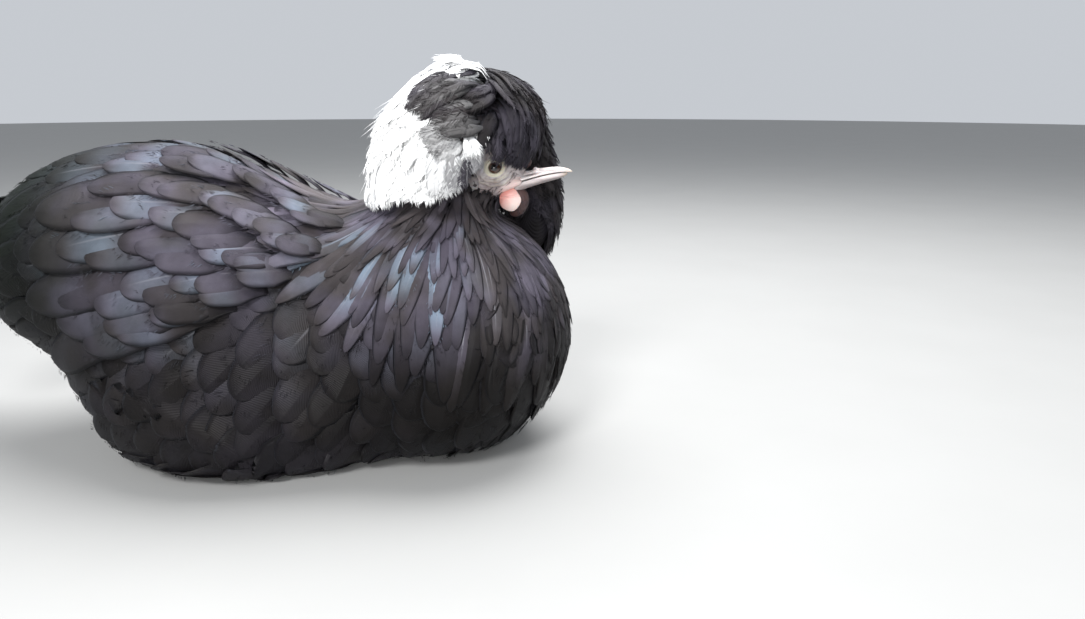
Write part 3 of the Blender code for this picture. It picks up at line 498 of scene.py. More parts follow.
def loose_barbs(name, paths, slopes, half, wide, pale, shade, painted_sheen_share, draw, slot, material, each, kind):
    """Loose barbs along both edges of each feather: a short curved hair that starts inside the vane,
    leaves it at a slant, passes the edge and bends towards the tip, in the colour that the feather has
    where it starts."""
    nearest, first, beyond, fall, lifts, radii = kind
    count, rows = paths.shape[:2]
    feather = np.repeat(np.arange(count), each)
    place = (1 - draw.random(len(feather)) ** 1.3 * (1 - nearest)) * (rows - 1) * 0.995
    side = np.where(draw.random(len(feather)) < 0.5, -1.0, 1.0)
    low = np.minimum(place.astype(int), rows - 2)
    part = (place - low)[:, None]
    start = paths[feather, low] * (1 - part) + paths[feather, low + 1] * part
    tangent = unit(np.gradient(paths, axis=1)[feather, low])
    slope = slopes[feather, low]
    across = unit(np.cross(slope, tangent)) * side[:, None]
    width = half[feather] * wide[feather, low].mean(-1)
    reach = width * draw.uniform(0.90, 1.18, len(feather)) + beyond
    steps = np.linspace(first, 1.0, len(radii))
    forward = tangent[:, None] * (reach[:, None] * steps**1.5 * 1.1)[..., None]
    sideways = across[:, None] * (reach[:, None] * steps * 0.85)[..., None]
    droop = draw.uniform(*lifts, len(feather))[:, None] * steps - width[:, None] * fall * steps**2
    curves = start[:, None] + forward + sideways + slope[:, None] * droop[..., None]
    strands(name, curves, np.broadcast_to(np.array(radii), curves.shape[:2]), material,
            pale=pale[feather], shade=shade[feather], painted_sheen_share=painted_sheen_share[feather], roots=paths[feather, 0],
            along=place / (rows - 1))


def grid_piece(name, grid, material, closed=False, values=None, label="Wrap", bake=False):
    """A surface from a grid of points. Rows close round on themselves, and the first and last rows are
    closed by a point in their middle, or joined to one another where the grid is closed."""
    rows, ring = grid.shape[:2]
    here = np.arange(ring)
    beside = (here + 1) % ring
    last = rows if closed else rows - 1
    row = np.arange(last)[:, None] * ring
    following = ((np.arange(last) + 1) % rows)[:, None] * ring
    quads = np.stack([row + here, row + beside, following + beside, following + here], -1).reshape(-1)
    each = np.full(last * ring, 4)
    points = grid.reshape(-1, 3)
    wrap = np.stack(np.broadcast_arrays(
        np.abs(np.linspace(-1, 1, ring, endpoint=False))[None], np.linspace(0, 1, rows)[:, None]
    ), -1).reshape(-1, 2)
    numbers = {key: np.asarray(value).reshape(-1) for key, value in (values or {}).items()}
    if not closed:
        poles = np.stack([grid[0].mean(0), grid[-1].mean(0)])
        first, final = len(points), len(points) + 1
        root = np.stack([beside, here, np.full(ring, first)], -1).reshape(-1)
        tip = np.stack([(rows - 1) * ring + here, (rows - 1) * ring + beside, np.full(ring, final)], -1)
        quads = np.concatenate([quads, root, tip.reshape(-1)])
        each = np.concatenate([each, np.full(2 * ring, 3)])
        points = np.concatenate([points, poles])
        wrap = np.concatenate([wrap, [(0.5, 0.0), (0.5, 1.0)]])
        numbers = {
            key: np.concatenate([value, [value[0], value[-1]]]) for key, value in numbers.items()
        }
    uvs = {label: wrap}
    if bake:
        uvs["OFBake"] = unwrapped(points)
    return mesh_piece(name, points, quads, each, material, uvs, numbers)


# Materials

class Shading:
    """Short calls that add the nodes of one material. A colour of the settings is given by its name."""

    def __init__(self, name, roughness, **constants):
        self.material = bpy.data.materials.new(name)
        self.material.use_nodes = True
        self.tree = self.material.node_tree
        self.shader = self.tree.nodes["Principled BSDF"]
        self.shader.inputs["Roughness"].default_value = roughness
        for label, value in constants.items():
            self.shader.inputs[label.replace("_", " ")].default_value = value

    def node(self, kind, **settings):
        made = self.tree.nodes.new(kind)
        for label, value in settings.items():
            setattr(made, label, value)
        return made

    def put(self, socket, value):
        if isinstance(value, bpy.types.NodeSocket):
            self.tree.links.new(value, socket)
        elif isinstance(value, str):
            socket.default_value = (*getattr(bpy.context.scene.hen_colours, value), 1.0)
        else:
            socket.default_value = value

    def maths(self, operation, first, second=0.0, third=0.0):
        made = self.node("ShaderNodeMath", operation=operation)
        for socket, value in zip(made.inputs, (first, second, third)):
            self.put(socket, value)
        return made.outputs[0]

    def spread(self, value, low, high, to_low=0.0, to_high=1.0):
        made = self.node("ShaderNodeMapRange", interpolation_type="SMOOTHSTEP")
        for socket, number in zip(made.inputs, (value, low, high, to_low, to_high)):
            self.put(socket, number)
        return made.outputs[0]

    def mix(self, share, first, second):
        made = self.node("ShaderNodeMix", data_type="RGBA")
        self.put(made.inputs[0], share)
        self.put(made.inputs[6], first)
        self.put(made.inputs[7], second)
        return made.outputs[2]

    def noise(self, scale, detail=3.0, stretch=(1, 1, 1), roughness=0.5):
        made = self.node("ShaderNodeTexNoise")
        self.put(made.inputs["Vector"], self.mapped(stretch))
        self.put(made.inputs["Scale"], scale)
        self.put(made.inputs["Detail"], detail)
        self.put(made.inputs["Roughness"], roughness)
        return made.outputs["Fac"]

    def mapped(self, stretch):
        place = self.node("ShaderNodeMapping")
        self.put(place.inputs["Vector"], self.node("ShaderNodeTexCoord").outputs["Object"])
        place.inputs["Scale"].default_value = stretch
        return place.outputs[0]

    def times(self, first, *others):
        for other in others:
            first = self.maths("MULTIPLY", first, other)
        return first

    def cells(self, scale, stretch=(1, 1, 1)):
        made = self.node("ShaderNodeTexVoronoi")
        self.put(made.inputs["Vector"], self.mapped(stretch))
        made.inputs["Scale"].default_value = scale
        return made.outputs["Distance"]

    def object_place(self):
        made = self.node("ShaderNodeSeparateXYZ")
        self.put(made.inputs[0], self.node("ShaderNodeTexCoord").outputs["Object"])
        return tuple(made.outputs)

    def value(self, label):
        return self.node("ShaderNodeAttribute", attribute_name=label).outputs["Fac"]

    def place(self, label="Vane"):
        made = self.node("ShaderNodeSeparateXYZ")
        self.put(made.inputs[0], self.node("ShaderNodeUVMap", uv_map=label).outputs[0])
        return made.outputs[0], made.outputs[1]

    def bump(self, height, strength, distance):
        made = self.node("ShaderNodeBump")
        for label, value in (("Height", height), ("Strength", strength), ("Distance", distance)):
            self.put(made.inputs[label], value)
        self.put(self.shader.inputs["Normal"], made.outputs[0])

    def colour(self, value):
        self.put(self.shader.inputs["Base Color"], value)
        return self.material


def plumage(name, sheen=0.5, barbs=34.0, streak=0.3, rim=0.30, lift=1.0):
    """Feather: charcoal and violet in soft patches, a painted blue sheen over the outer half of the vane,
    green-black at the rear, darker and browner below (partly painted shade), painted shade towards the
    root, brighter over the upper parts as painted light from above, a dark rim, a thin bright streak
    along some shafts (partly a painted highlight), fine slanting barbs, and white where it is pale,
    greyer towards the root and in cooler patches as painted shade."""
    shading = Shading(name, 0.50, Sheen_Weight=0.02, Sheen_Roughness=0.35, Specular_IOR_Level=0.11,
                      Sheen_Tint=(0.74, 0.80, 1.0, 1.0))
    across, along = shading.place()
    shade = shading.value("shade")
    ahead, _, height = shading.object_place()
    patches = shading.noise(30.0, 2.0)
    tint = shading.mix(shading.spread(patches, 0.38, 0.62), "charcoal", "violet")
    # Painted sheen: a blue band over the outer half of the vane, on feathers given a share of it
    painted_sheen = shading.times(
        shading.spread(along, 0.35, 0.62), shading.spread(along, 1.0, 0.68),
        shading.spread(shade, 0.30, 0.95), shading.value("painted_sheen_share"),
        shading.spread(shading.noise(17.0, 1.0), 0.30, 0.54), sheen,
    )
    tint = shading.mix(painted_sheen, tint, "painted_sheen_blue")
    tint = shading.mix(shading.spread(ahead, -0.060, -0.150), tint, "green")
    # Darker and browner below, most on the breast: partly the brown-black of the lower feathers, partly
    # painted shade
    low = shading.spread(shading.maths("MULTIPLY_ADD", shade, 0.02, height), 0.128, 0.070)
    brown_and_shade_below = shading.times(low, shading.spread(ahead, 0.03, 0.12, 0.78, 1.0))
    tint = shading.mix(brown_and_shade_below, tint, "low")
    # Painted shade: each feather darkens towards its root, to 0.4 of its brightness there
    painted_root_shade = shading.spread(along, 0.15, 0.6, 0.40, 1.0)
    off = shading.maths("ABSOLUTE", shading.maths("MULTIPLY_ADD", across, 2.0, -1.0))
    dark_rim = shading.maths("MAXIMUM", shading.spread(off, 0.58, 1.0), shading.spread(along, 0.86, 1.0))
    slant = shading.maths("MULTIPLY_ADD", off, -0.35, along)
    barb = shading.maths("SINE", shading.times(slant, barbs * 2 * math.pi))
    brightness = shading.times(
        shading.maths("MULTIPLY_ADD", shade, 0.68 * lift, 0.64 * lift),
        shading.spread(shading.noise(75.0, 5.0, roughness=0.65), 0.30, 0.70, 0.84, 1.16),
        # painted light from above: half as bright again over the upper parts
        shading.spread(height, 0.125, 0.165, 1.0, 1.5),
        painted_root_shade,
        shading.maths("MULTIPLY_ADD", dark_rim, -rim, 1.0),
        shading.maths("MULTIPLY_ADD", barb, 0.13, 1.0),
    )
    scaled = shading.node("ShaderNodeVectorMath", operation="SCALE")
    shading.put(scaled.inputs[0], tint)
    shading.put(scaled.inputs["Scale"], brightness)
    # Bright streak along some shafts: partly the pale shaft, partly a painted highlight, faded out below and
    # at the rear
    shaft = shading.times(
        shading.spread(off, 0.07, 0.01), shading.spread(along, 0.95, 0.6),
        shading.spread(shade, 0.55, 0.85), shading.spread(low, 0.6, 0.1),
        shading.spread(ahead, -0.140, -0.100), painted_root_shade, streak,
    )
    dark = shading.mix(shaft, scaled.outputs[0], "edge")
    # Painted shade in the white: greyer towards the root and in cooler random patches
    light = shading.mix(shading.spread(along, 0.0, 0.55), "white_root_shade", "white")
    light = shading.mix(shading.times(shading.spread(patches, 0.4, 0.7), 0.25), light, "white_shadow")
    shading.bump(barb, 0.40, 0.0004)
    return shading.colour(shading.mix(shading.value("pale"), dark, light))


def skin_material():
    """Thin skin: grey with pinker flesh at the mouth and a yellowish ring round the eye, finely
    pebbled, painted shade in the grooves of the folds, under the jaw and on the reddish skin under the
    bill, and black where the coat covers it."""
    shading = Shading("hen_skin", 0.55, Subsurface_Weight=0.12, Subsurface_Scale=0.002,
                      Subsurface_Radius=(1.0, 0.35, 0.2))
    mottle = shading.noise(420.0, 4.0)
    base = shading.mix(shading.spread(mottle, 0.35, 0.7), "skin", "skin_dark")
    base = shading.mix(shading.value("ring"), base, "lid")
    base = shading.mix(shading.value("fold"), base, "fold")
    base = shading.mix(shading.value("painted_skin_shade"), base, "painted_skin_shade")
    base = shading.mix(shading.value("pink"), base, "gape")
    base = shading.mix(shading.value("covered"), base, "covered")
    shading.bump(shading.cells(1700.0), 0.35, 0.0002)
    return shading.colour(base)


# Settings

class HenCoatSettings(bpy.types.PropertyGroup):
    """Sizes of the feathers of the body"""

    row_step: FloatProperty(name="Row step", description="Distance between rows of body feathers",
                            default=0.0160, min=0.004, max=0.03, **UNIT)
    length: FloatProperty(name="Length", description="Length of a feather of the flank",
                          default=0.043, min=0.01, max=0.06, **UNIT)
    half_width: FloatProperty(name="Half width", description="Half the width of a feather of the flank",
                              default=0.0138, min=0.003, max=0.03, **UNIT)


class HenCrestSettings(bpy.types.PropertyGroup):
    """Sizes of the feathers of the crest"""

    feathers: IntProperty(name="Feathers", description="Number of roots spread over the crest, of which "
                          "those that would hang too low are not used", default=900, min=60, max=2000)
    barbs: IntProperty(name="Barbs", description="Number of loose barbs on each feather",
                       default=24, min=0, max=80)
    length: FloatProperty(name="Length", description="Length of a crest feather",
                          default=0.038, min=0.01, max=0.08, **UNIT)
    half_width: FloatProperty(name="Half width", description="Half the width of a crest feather",
                              default=0.0052, min=0.002, max=0.02, **UNIT)


def colour_property(label, text, value):
    return FloatVectorProperty(name=label, description=text, default=value, min=0.0, max=1.0,
                               subtype="COLOR", size=3)


class HenColours(bpy.types.PropertyGroup):
    """Colours of the plumage, skin and horn"""

    charcoal: colour_property("Charcoal", "Warm black of the feathers", (0.0264, 0.0226, 0.0234))
    violet: colour_property("Violet", "Cool black of the feathers", (0.0462, 0.0412, 0.0545))
    # Painted sheen: the blue laid over the outer half of the vanes
    painted_sheen_blue: colour_property("Steel", "Blue sheen on the hackle and coverts", (0.082, 0.110, 0.142))
    green: colour_property("Green", "Green-black of the rear", (0.0022, 0.0036, 0.0020))
    # Partly the brown-black of the lower feathers, partly painted shade
    low: colour_property("Low", "Brown-black of the feathers near the floor", (0.0044, 0.0036, 0.0034))
    # Partly a painted highlight along the shafts
    edge: colour_property("Streak", "Bright streak along the shaft of a dark feather", (0.222, 0.222, 0.244))
    white: colour_property("White", "White crest feathers", (0.96, 0.96, 0.955))
    # Painted shade: the white greyed towards the root
    white_root_shade: colour_property("White root", "White feathers near their roots", (0.90, 0.91, 0.93))
    white_shadow: colour_property("White shadow", "Cooler patches in the white", (0.86, 0.88, 0.92))
    skin: colour_property("Skin", "Bare skin of the face", (0.474, 0.429, 0.429))
    skin_dark: colour_property("Dark skin", "Darker mottles of the face", (0.281, 0.237, 0.237))
    lid: colour_property("Lid", "Pale ring round the eye", (0.592, 0.555, 0.444))
    gape: colour_property("Gape", "Flesh at the corner of the mouth", (0.636, 0.488, 0.459))
    fold: colour_property("Fold", "Pale fold behind the eye", (0.62, 0.58, 0.63))
    # Painted shade: darkens the grooves under the eye, the skin under the jaw and the reddish skin under the
    # bill
    painted_skin_shade: colour_property("Dusky skin", "Dark skin of the folds and under the bill", (0.060, 0.030, 0.028))
    covered: colour_property("Covered skin", "Skin under the black coat", (0.0190, 0.0180, 0.0200))
    horn: colour_property("Horn", "Horn of the bill", (0.592, 0.525, 0.518))
    # Dark streaks of the horn, and painted shade along the mouth and under the bill
    dark_horn_and_shade: colour_property("Dark horn", "Grooves and base of the bill", (0.148, 0.118, 0.118))
    horn_tip: colour_property("Bill tip", "Yellowish horn of the tip", (0.370, 0.296, 0.200))
    wattle: colour_property("Wattle", "Upper part of the wattles", (0.548, 0.222, 0.192))
    wattle_pale: colour_property("Pale wattle", "Pale lobe of the wattles", (0.600, 0.490, 0.460))
    comb: colour_property("Comb", "Comb", (0.048, 0.017, 0.016))
    earlobe: colour_property("Earlobe", "Earlobes", (0.130, 0.110, 0.115))
    iris: colour_property("Iris", "Iris of the eye", (0.0370, 0.0148, 0.0074))
    scale: colour_property("Scale", "Scales of the legs", (0.0740, 0.0814, 0.0962))
    claw: colour_property("Claw", "Horn of the claws", (0.222, 0.200, 0.178))


class HenStageSettings(bpy.types.PropertyGroup):
    """Floor, light and camera"""

    floor: colour_property("Floor", "Colour of the floor", (0.30, 0.30, 0.295))
    camera_place: FloatVectorProperty(name="Camera", description="Where the camera stands",
                                      default=(0.2131, -0.55, 0.225), subtype="XYZ", unit="LENGTH")
    camera_turn: FloatVectorProperty(name="Camera turn", description="How the camera is turned",
                                     default=(math.radians(76.1), 0.0, math.radians(5.0)),
                                     subtype="EULER", unit="ROTATION")
    lens: FloatProperty(name="Lens", description="Focal length in millimetres on a 36 mm wide sensor",
                        default=29.96, min=10.0, max=200.0, unit="CAMERA")
    key_power: FloatProperty(name="Key light", description="Power of the large light overhead",
                             default=36.5, min=0.0, subtype="POWER", unit="POWER")
    world: FloatProperty(name="Surround", description="Strength of the pale surround",
                         default=0.66, min=0.0)


# Pieces

def eye_folds(points):
    """How near each point lies to the ridges under the eye, the grooves between them, and the upright
    fold behind it, from 0 to 1 each."""
    ridge, groove, upright = (np.zeros(points.shape[:-1]) for _ in range(3))
    for side in (-1, 1):
        offset = points - EYE_CENTRE * (1, side, 1)
        near = np.clip(1.4 - np.abs(offset[..., 1]) / 0.012, 0, 1)
        away = np.hypot(offset[..., 0], offset[..., 2] * 1.12)
        below = near * smooth(0.15, 0.8, -offset[..., 2] / np.maximum(away, 1e-6))
        wander = 0.0004 * np.sin(900 * points[..., 0] + 2.0)
        for distance in (0.0089 + wander, 0.0116 - wander):
            ridge = np.maximum(ridge, below * np.exp(-((away - distance) / 0.00050) ** 2))
            groove = np.maximum(groove, below * np.exp(-((away - distance - 0.0010) / 0.00045) ** 2))
        place = points - np.array((0.1306, -0.014 * -side, 0.1795))
        bowed = place[..., 0] + 30 * place[..., 2] ** 2
        ends = smooth(0.0062, 0.0030, np.abs(place[..., 2]))
        upright = np.maximum(upright, near * np.exp(-(bowed / 0.0011) ** 2) * ends)
    return ridge, groove, upright


class HEN_OT_skin(bpy.types.Operator):
    """One skin over trunk, neck, head and thighs"""

    bl_idname = "hen.skin"
    bl_label = "Skin"

    def execute(self, context):
        """Rings of rays are cast from the spine, leaning over at both ends so that they close in a pole,
        and each point is where its ray first leaves the flesh, raised by the folds of the face."""
        rear = np.radians(np.linspace(2, 88, 20))
        front = np.radians(np.linspace(91, 178, 72))
        body = 1 - (1 - np.linspace(0, 1, 130)) ** 1.3
        marks = np.concatenate([np.zeros(len(rear)), body, np.ones(len(front))])
        lean = np.concatenate([rear, np.full(len(body), math.pi / 2), front])
        angle = np.linspace(-math.pi, math.pi, 200, endpoint=False)
        pairs = np.broadcast_arrays(lean[:, None], angle[None])
        origins, tangents = spine(marks)
        upward = np.stack([-tangents[:, 2], tangents[:, 1], tangents[:, 0]], -1)
        radial = np.cos(pairs[1])[..., None] * upward[:, None]
        radial = radial + np.sin(pairs[1])[..., None] * SIDEWAYS
        rays = radial * np.sin(pairs[0])[..., None] - tangents[:, None] * np.cos(pairs[0])[..., None]
        origins = origins[:, None]
        grid = origins + first_exit(origins, rays, flesh, steps=65)[..., None] * rays
        ridge, groove, upright = eye_folds(grid)
        raised = 0.0006 * ridge - 0.0003 * groove + 0.0008 * upright
        values = self.markings(grid, ridge, groove, upright)
        grid = grid + raised[..., None] * slope_of(head, grid)
        piece = grid_piece("skin", grid, skin_material(), values=values)
        layer = piece.data.uv_layers.new(name="OFBake")
        corners = np.zeros(len(piece.data.loops), np.int32)
        piece.data.loops.foreach_get("vertex_index", corners)
        places = np.stack(np.broadcast_arrays(
            0.01 + 0.98 * (angle[None] / (2 * math.pi) + 0.5), np.linspace(0.01, 0.99, len(marks))[:, None]
        ), -1).reshape(-1, 2)
        places = np.concatenate([places, [(0.5, 0.005), (0.5, 0.995)]])
        layer.uv.foreach_set("vector", places[corners].astype(np.float32).ravel())
        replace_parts(piece, "torso", "neck", "head", "thigh_right", "thigh_left")
        return {"FINISHED"}

    @staticmethod
    def markings(points, ridge, groove, upright):
        """Covered skin is all but the face, the ring lies round the eye and on the ridges of the folds,
        pink at the mouth, and painted shade in the grooves, low under the jaw and on the skin under the
        bill."""
        face = smooth(0.120, 0.127, points[..., 0]) * smooth(0.142, 0.148, points[..., 2])
        ring, pink = np.zeros(face.shape), np.zeros(face.shape)
        for side in (-1, 1):
            away = np.linalg.norm(points - EYE_CENTRE * (1, side, 1), axis=-1)
            ring = np.maximum(ring, smooth(0.0085, 0.0070, away))
            pink = np.maximum(pink, smooth(0.0022, 0.0, ellipsoid(points, GAPE_FLESH, side)))
        # Painted shade on the skin under the bill, in the grooves and low under the jaw, kept off the pink of
        # the mouth
        painted_skin_shade = smooth(0.0050, 0.0015, ellipsoid(points, DEWLAP))
        low = smooth(0.1740, 0.1690, points[..., 2]) * smooth(0.1440, 0.1400, points[..., 0])
        return {
            "covered": 1 - face, "ring": np.maximum(ring * 0.8, ridge * 0.55), "pink": pink,
            "painted_skin_shade": np.maximum(painted_skin_shade, np.maximum(groove * 0.5, low * 0.45)) * (1 - pink), "fold": upright,
        }


def body_roots(step):
    """Roots of the body feathers in staggered rows: rays from a level line inside the trunk, leaning over
    at both ends, a row step apart, and as many in each row as its girth has room for."""
    girth = 0.088
    rear = np.arange(0.10, 1.0, step / girth / (math.pi / 2)) * math.pi / 2
    middle = np.arange(0, 0.185, step)
    lean = np.concatenate([rear, np.full(len(middle), math.pi / 2), math.pi - rear[::-1]])
    start = np.concatenate([np.full(len(rear), -0.105), -0.105 + middle, np.full(len(rear), 0.080)])
    count = np.maximum(6, np.round(2 * math.pi * girth * np.sin(lean) / step)).astype(int)
    row, number = numbered(count)
    draw = np.random.default_rng(11)
    angle = 2 * math.pi * (number + 0.5 * (row % 2) + draw.uniform(-0.16, 0.16, len(row))) / count[row]
    lean = lean[row] + draw.uniform(-0.12, 0.12, len(row)) * step / girth
    origins = np.stack([start[row], np.zeros(len(row)), np.full(len(row), 0.088)], -1)
    rays = np.stack([-np.cos(lean), np.sin(lean) * np.sin(angle), np.sin(lean) * np.cos(angle)], -1)
    return origins + first_exit(origins, rays, figure)[:, None] * rays


def collar_lean(points):
    """Angle in degrees between a point and the axis of the collar, seen from its middle."""
    axis = np.array((math.sin(COLLAR_TILT), 0.0, math.cos(COLLAR_TILT)))
    return np.degrees(np.arccos(np.clip(unit(points - COLLAR_POINT) @ axis, -1, 1)))


class HEN_OT_body_coat(bpy.types.Operator):
    """Small rounded feathers over back, flanks, thighs and belly"""

    bl_idname = "hen.body_coat"
    bl_label = "Body feathers"

    def execute(self, context):
        """Each feather is a path from its root, streaming away from the head, that rises from the skin
        to the outline of the coat. The back's are the longest. Only feathers that lie smoothly, run
        onward for most of their length and do not fold under at the rear are kept."""
        coat = context.scene.hen_coat
        roots = body_roots(coat.row_step)
        recessed = np.minimum(*(
            np.minimum(ellipsoid(roots, RECESSES[0], side), ellipsoid(roots, RECESSES[1], side))
            for side in (-1, 1)
        ))
        roots = roots[(collar_lean(roots) > 58) & (recessed > 0.001)]
        draw = np.random.default_rng(23)
        count = len(roots)
        high = smooth(0.09, 0.17, roots[:, 2])
        length = coat.length * (1 + 0.22 * high) * draw.uniform(0.88, 1.14, count)
        half = coat.half_width * (1 - 0.10 * high) * draw.uniform(0.9, 1.12, count)
        shares = stations(13)
        levels = rise(shares, np.full(count, -0.0062), draw.uniform(-0.0006, 0.0009, count), 0.35, 0.62)
        push = draw.normal(size=(count, 3)) * 0.012
        paths = trails(figure, roots, lambda points: (points - BODY_SOURCE) * (1, 0.8, 1) + push, length,
                       shares, levels)
        wide = blade(shares, draw, count, root=0.35, full=0.45, turn=0.50, power=2.1, ragged=0.025)
        tilt = np.radians(draw.normal(4, 3, count)) * np.where(roots[:, 1] > 0, 1, -1)
        # Share of painted sheen, larger on the higher feathers
        painted_sheen_share = smooth(0.06, 0.15, roots[:, 2]) * 0.8
        slopes = slope_of(figure, paths)
        smoothly = np.sum(slopes[:, 1:] * slopes[:, :-1], -1).min(1) > 0.68
        onward = np.linalg.norm(paths[:, -1] - paths[:, 0], axis=1) > 0.74 * length
        folded = (roots[:, 0] < -0.06) & (paths[..., 2].min(1) < 0.0035)
        kept = smoothly & onward & ~folded
        roots, paths, slopes, half, wide, tilt, painted_sheen_share = (
            part[kept] for part in (roots, paths, slopes, half, wide, tilt, painted_sheen_share)
        )
        material = plumage("hen_body_plumage", streak=0.34, lift=0.88)
        region = np.select(
            [roots[:, 2] > 0.150, roots[:, 2] < 0.035, roots[:, 1] < 0], (0, 3, 1), 2
        )
        for number, name in enumerate(("coat_back", "coat_right", "coat_left", "coat_under")):
            chosen = region == number
            shade = draw.random(int(chosen.sum()))
            shape = tuple(part[chosen] for part in (paths, slopes, half, wide))
            feathers(name, *shape, tilt[chosen], "black_plumage", material, camber=0.13, columns=9,
                     shade=shade, painted_sheen_share=painted_sheen_share[chosen])
            if number < 3:
                loose_barbs(name + "_barbs", *shape, np.zeros(len(shade)), shade, painted_sheen_share[chosen], draw,
                            "black_plumage", material, 24, FRINGE)
        return {"FINISHED"}


# Tiers of the hackle, from the lowest: degrees from the axis of the collar, and number of feathers
HACKLE_LEANS = (78, 69, 61, 53, 46, 39, 33, 27, 21)
HACKLE_COUNTS = (48, 48, 48, 50, 50, 52, 50, 46, 38)


class HEN_OT_hackle(bpy.types.Operator):
    """Long pointed feathers that hang from the neck"""

    bl_idname = "hen.hackle"
    bl_label = "Hackle"

    def execute(self, context):
        """Tiers round the axis of the collar, from the lowest and longest to the short ones behind the
        head. The roots are where rays leave the trunk, the paths stream away from the nape, and at the
        sides they are raised by as much as the wings stand out of the trunk."""
        forward, upward = slanting(COLLAR_TILT)
        turn = np.stack([forward, SIDEWAYS, upward])
        draw = np.random.default_rng(31)
        leans, counts = np.array(HACKLE_LEANS), np.array(HACKLE_COUNTS)
        tier, number = numbered(counts)
        bearing = number + 0.5 * (tier % 2) + draw.uniform(-0.2, 0.2, len(tier))
        bearing = 2 * math.pi * bearing / counts[tier]
        lean = np.radians(leans[tier] + draw.uniform(-1.5, 1.5, len(tier)))
        around = (np.cos(bearing) * np.sin(lean), np.sin(bearing) * np.sin(lean), np.cos(lean))
        rays = np.stack(around, -1) @ turn.T
        starts = COLLAR_POINT + first_exit(COLLAR_POINT, rays, trunk)[:, None] * rays
        size = tier / (len(leans) - 1)
        length = (0.088 - 0.052 * size) * draw.uniform(0.86, 1.12, len(tier))
        length = length * (1 - 0.20 * np.clip(np.cos(bearing), 0, 1))
        half = (0.0030 + 0.0072 * (1 - size) ** 1.5) * draw.uniform(0.88, 1.14, len(tier))
        shares = stations(18)
        front = np.clip(np.cos(bearing), 0, 1)
        rear = np.clip(-np.cos(bearing), 0, 1)
        tips = (0.0014 + 0.0034 * size) * (1 - 0.75 * front - 0.85 * rear)
        tips = tips + draw.uniform(-0.0004, 0.0005, len(tier))
        levels = rise(shares, np.full(len(tier), -0.0012), tips)
        push = draw.normal(size=(len(tier), 3)) * 0.006
        paths = trails(trunk, starts, lambda points: points - HACKLE_SOURCE + push, length, shares, levels)
        over_wing = np.maximum(trunk(paths) - mantle(paths), 0)
        over_wing = over_wing * (1 - smooth(0.5, 0.85, rear))[:, None]
        paths = paths + over_wing[..., None] * slope_of(trunk, paths)
        kept = clear_of_wattles(paths)
        paths, half, tier = paths[kept], half[kept], tier[kept]
        wide = blade(shares, draw, len(tier), root=0.28, full=0.55, turn=0.44, power=1.10, ragged=0.02)
        slant = np.radians(draw.normal(0, 4, len(tier)))
        # The lift brightens the hackle above the body's feathers, in part as painted sheen
        material = plumage("hen_hackle_plumage", sheen=0.9, barbs=46.0,
                           streak=0.70, rim=0.25, lift=1.62)
        middle = paths[:, 10, 2]
        # Share of painted sheen: on the middle band of the hackle and away from its front
        painted_sheen_share = smooth(0.070, 0.095, middle) * smooth(0.152, 0.130, middle)
        painted_sheen_share = painted_sheen_share * smooth(0.150, 0.120, paths[:, 10, 0])
        slopes, shade = slope_of(trunk, paths), draw.random(len(tier))
        feathers("hackle", paths, slopes, half, wide, slant, "black_plumage", material, camber=0.20,
                 shade=shade, painted_sheen_share=painted_sheen_share)
        loose_barbs("hackle_barbs", paths, slopes, half, wide, np.zeros(len(tier)), shade, painted_sheen_share, draw,
                    "black_plumage", material, 24, FRINGE)
        return {"FINISHED"}


# Tiers of a wing, from the hindmost: distance behind the front of the wing, number, height of the row,
# length, half width, height of the tips over the flank
WING_TIERS = (
    (0.096, 3, 0.058, 0.094, 0.0154, 0.0046),
    (0.086, 4, 0.070, 0.079, 0.0146, 0.0049),
    (0.078, 4, 0.072, 0.067, 0.0136, 0.0052),
    (0.070, 5, 0.074, 0.058, 0.0122, 0.0054),
    (0.063, 5, 0.074, 0.052, 0.0114, 0.0056),
    (0.056, 5, 0.072, 0.047, 0.0108, 0.0058),
    (0.049, 5, 0.070, 0.043, 0.0102, 0.0060),
    (0.042, 5, 0.066, 0.039, 0.0098, 0.0062),
    (0.035, 5, 0.062, 0.035, 0.0092, 0.0065),
    (0.028, 5, 0.058, 0.032, 0.0088, 0.0068),
    (0.021, 5, 0.054, 0.029, 0.0084, 0.0069),
    (0.014, 5, 0.050, 0.026, 0.0080, 0.0065),
    (0.007, 4, 0.040, 0.023, 0.0076, 0.0054),
)


